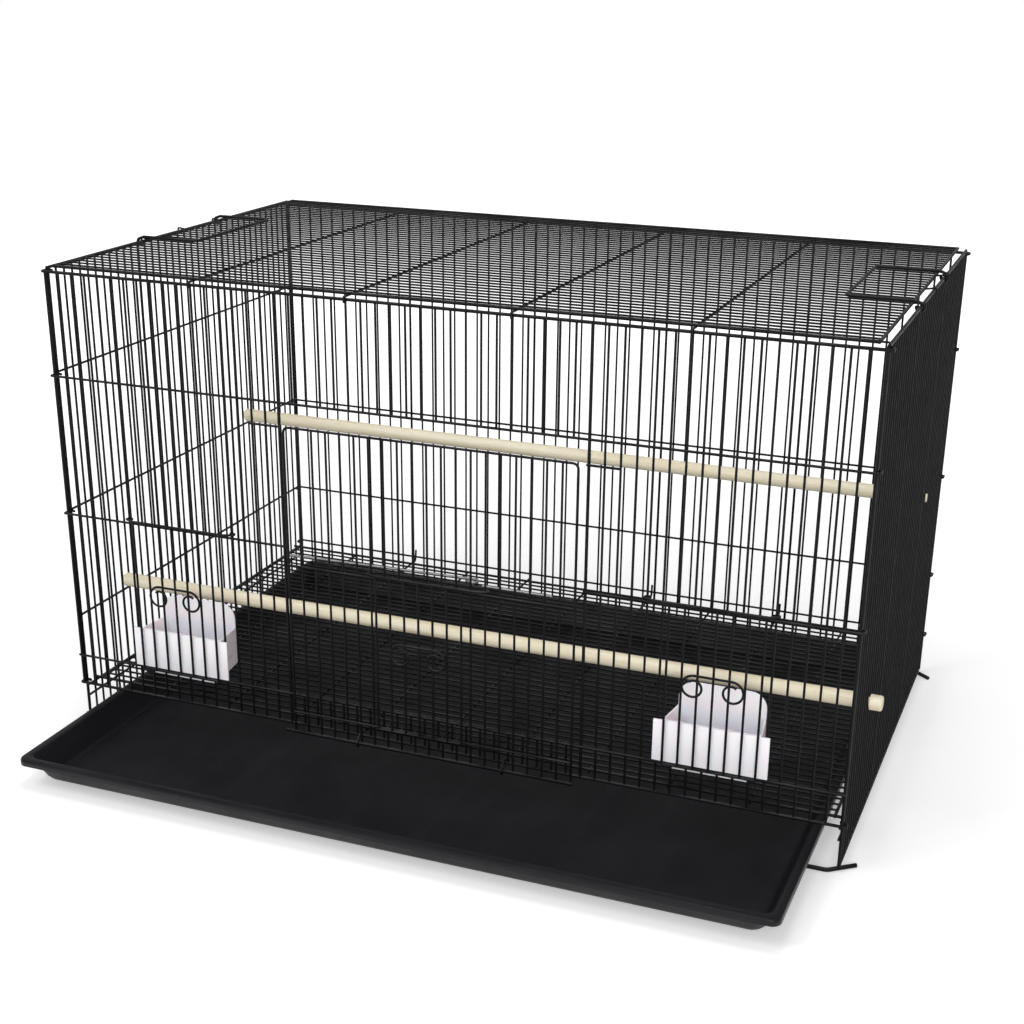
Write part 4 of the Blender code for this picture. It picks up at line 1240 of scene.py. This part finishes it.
# %% Cups
CUP_SHARP = 40
for name, side in (("left", -1), ("right", 1)):
    x = side * FEEDER_CENTRE
    shell = skin_of([taper_loop(x, inset, z) for inset, z in CUP_LEVELS], close_last=True)
    front = rectangle(x, CUP_PLATE_HALF, CUP_BASE, CUP_RIM)
    tab = rectangle(x, TAB_HALF, SILL_RAIL - TAB_DROP, CUP_BASE + TAB_LAP)
    bm = bmesh.new()
    bm.from_mesh(shell)
    bmesh.ops.recalc_face_normals(bm, faces=bm.faces)
    plates = [plate(front, CUP_FRONT - CUP_WALL, PLATE_THICKNESS)]
    plates.append(plate(hood_outline(x), CUP_REAR - CUP_WALL - SINK, CUP_WALL))
    plates.append(plate(tab, TAB_FRONT, PLATE_THICKNESS))
    for extra in plates:
        bm.from_mesh(extra)
        bpy.data.meshes.remove(extra)
    bm.to_mesh(shell)
    bm.free()
    cup = "cup_" + name
    place_piece(cup + "_shell", shell, CUP_WHITE, "cage", cup, CUP_SHARP)
    print("cup", name, len(shell.polygons), "faces")

# %% [markdown]
# ## The perches
# A perch is a turned dowel. A neck near each end drops between two side uprights. The front
# perch has a short round-edged knob outside on the right, and the rear one ends in its neck.
# A cylinder would need its necks cut with booleans. Turning a profile round the axis gives
# neck, rounded edge and end in one go, as a lathe does. Blender's spin tool can do that too, but
# it adds its faces in another order on each run, so each point of the profile is turned to a
# ring here, and the rings are joined. At a tip the radius is nought, and the ring merges to one
# point.

# %% Perch profiles
PERCH_RADIUS = 0.0070
PERCH_NECK = 0.0041
PERCH_KNOB = 0.0110
PERCH_ROUND = 0.0020
PERCH_ROUND_STEPS = 5
NECK_HALF = 0.0018
EDGE = 0.0003
perch_inner = HALF - NECK_HALF
perch_outer = HALF + NECK_HALF


def knob_profile():
    """(radius, x) pairs of the round-edged knob, from its tip inwards."""
    tip = perch_outer + PERCH_KNOB
    centre = (PERCH_RADIUS - PERCH_ROUND, tip - PERCH_ROUND)
    pairs = [(0, tip)] + arc(centre, PERCH_ROUND, 90, 0, PERCH_ROUND_STEPS)
    return pairs + [(PERCH_RADIUS, perch_outer + EDGE), (PERCH_RADIUS - EDGE, perch_outer)]


def dowel_profile(knob):
    """(radius, x) pairs of a whole perch, from right to left."""
    half = [(PERCH_NECK, perch_outer), (PERCH_NECK, perch_inner)]
    half += [(PERCH_RADIUS - EDGE, perch_inner), (PERCH_RADIUS, perch_inner - EDGE)]
    pairs = (knob_profile() if knob else [(0, perch_outer)]) + half
    return pairs + [(radius, -x) for radius, x in half[::-1]] + [(0, -perch_outer)]


print("a perch is %.0f mm thick" % (PERCH_RADIUS * 2000))

# %% Perches
PERCH_STEPS = 32
PERCH_SHARP = 40
TURN_FROM = 90
MERGE = 1e-6
for name, knob in (("front", True), ("rear", False)):
    node = "perch_" + name
    near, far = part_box(node)
    place = (0, (near.y + far.y) / 2, (near.z + far.z) / 2)
    bm = bmesh.new()
    rings = []
    for radius, x in dowel_profile(knob):
        turn = arc((0, 0), radius, TURN_FROM, TURN_FROM + 360, PERCH_STEPS)[:-1]
        rings.append([bm.verts.new((x, y, z)) for y, z in turn])
    for first, second in zip(rings, rings[1:]):
        join_rings(bm, first, second)
    bmesh.ops.remove_doubles(bm, verts=bm.verts, dist=MERGE)
    bmesh.ops.recalc_face_normals(bm, faces=bm.faces)
    bmesh.ops.translate(bm, verts=bm.verts, vec=place)
    dowel = mesh_from(bm, "perch_dowel")
    place_piece(node + "_dowel", dowel, PINE, "cage", node, PERCH_SHARP)
    print("perch", name, "at y %.3f z %.3f" % place[1:])

# %% [markdown]
# ## The floor
# The cage stands on a pale surface that fades to white. Only the camera, and reflections, see
# extra white on it, more with the distance, so that it meets the background. Near the cage the
# floor still takes the soft shadow of the tray.

# %% Floor
FLOOR_SIZE = 12.0
FADE_FROM, FADE_TO = 0.5, 2.2
NEAR_WHITE, FAR_WHITE = 0.30, 0.9
bm = bmesh.new()
bmesh.ops.create_grid(bm, x_segments=1, y_segments=1, size=FLOOR_SIZE / 2)
floor = put_in_scene("floor", mesh_from(bm, "floor"))
paint = Finish("pale_floor", roughness=0.9, specular=0.0)
drift = paint.use(slow_mottle, Patch_Size=0.5, Low=0.0, High=1.0)
paint.set(Base_Color=paint.blend(drift, (0.90, 0.90, 0.90), (0.92, 0.92, 0.92)))
where = paint.add("NewGeometry").outputs["Position"]
away = paint.add("VectorMath", where, operation="LENGTH").outputs["Value"]
limits = {"From_Min": FADE_FROM, "From_Max": FADE_TO, "To_Min": NEAR_WHITE, "To_Max": FAR_WHITE}
fade = paint.add("MapRange", Value=away, **limits).outputs[0]
ray = paint.add("LightPath").outputs
seen = paint.add("Math", ray["Is Camera Ray"], ray["Is Glossy Ray"], operation="MAXIMUM")
lift = paint.add("Math", seen.outputs[0], fade, operation="MULTIPLY").outputs[0]
glow = paint.add("Emission", Strength=lift).outputs[0]
both = paint.add("AddShader", paint.shader.outputs[0], glow).outputs[0]
feed(paint.tree, paint.tree.nodes["Material Output"].inputs["Surface"], both)
floor.data.materials.append(paint.material)
print("floor %.0f m square" % FLOOR_SIZE)

# %% [markdown]
# ## The white room
# A white world lights the cage evenly from all sides. The camera sees it at full white, and the
# object is lit by less than half of that, so a colour renders about as it is written.

# %% World
ROOM_LIGHT = 0.42
ROOM_SEEN = 1.0
world = bpy.data.worlds.new("studio")
bpy.context.scene.world = world
world.use_nodes = True
tree = world.node_tree
sky = tree.nodes["Background"]
ray = add_node(tree, "LightPath").outputs
seen = add_node(tree, "Math", ray["Is Camera Ray"], ray["Is Transmission Ray"],
                operation="MAXIMUM")
limits = {"To_Min": ROOM_LIGHT, "To_Max": ROOM_SEEN}
strength = add_node(tree, "MapRange", Value=seen.outputs[0], **limits).outputs[0]
fill(tree, sky, {"Color": (1, 1, 1, 1), "Strength": strength})
print("the room lights at", ROOM_LIGHT)

# %% [markdown]
# ## Lamps
# A soft lamp above the front left gives a soft shadow to the right, one from the front lights
# the cups and perches, and a smaller one overhead draws a fine highlight along each wire that
# lies level.

# %% Soft lamps
def softbox(name, place, target, size, power):
    """A square area lamp aimed at a point."""
    lamp = bpy.data.lights.new(name, "AREA")
    lamp.size = size
    lamp.energy = power
    holder = put_in_scene(name, lamp)
    holder.location = place
    aim = Vector(target) - Vector(place)
    holder.rotation_euler = aim.to_track_quat("-Z", "Y").to_euler()


softbox("key", (-1.3, -1.5, 2.4), (0, 0.1, 0.15), 1.3, 26)
softbox("front", (1.0, -2.4, 1.1), (0, 0.1, 0.15), 1.6, 36)
softbox("overhead", (0.1, 0.1, 2.6), (0.1, 0.1, 0.4), 0.8, 12)
print("three lamps")

# %% [markdown]
# ## The camera
# The view comes from a fit to the cage's edges in the photograph: a 58 mm lens from the front
# right, a little above, with the picture plane shifted up. The roll is under a degree.

# %% Camera
EYE = Vector((0.5611, -1.2403, 0.7399))
LOOK = Vector((-0.33408, 0.86261, -0.37986))
ROLL = 0.653
FOCAL_PIXELS = 1640.8
CENTRE_PIXELS = (514.5, 614.1)
IMAGE = 1024
SENSOR = 36.0
camera = bpy.data.cameras.new("camera")
camera.sensor_width = SENSOR
camera.lens = FOCAL_PIXELS * SENSOR / IMAGE
camera.shift_x = (IMAGE / 2 - CENTRE_PIXELS[0]) / IMAGE
camera.shift_y = (CENTRE_PIXELS[1] - IMAGE / 2) / IMAGE
viewer = put_in_scene("camera", camera)
level = LOOK.to_track_quat("-Z", "Y").to_matrix()
tilted = Matrix.Rotation(math.radians(ROLL), 3, -LOOK) @ level
viewer.matrix_world = Matrix.Translation(EYE) @ tilted.to_4x4()
bpy.context.scene.camera = viewer
bpy.context.scene.view_settings.view_transform = "Standard"
print("lens %.1f mm" % camera.lens)
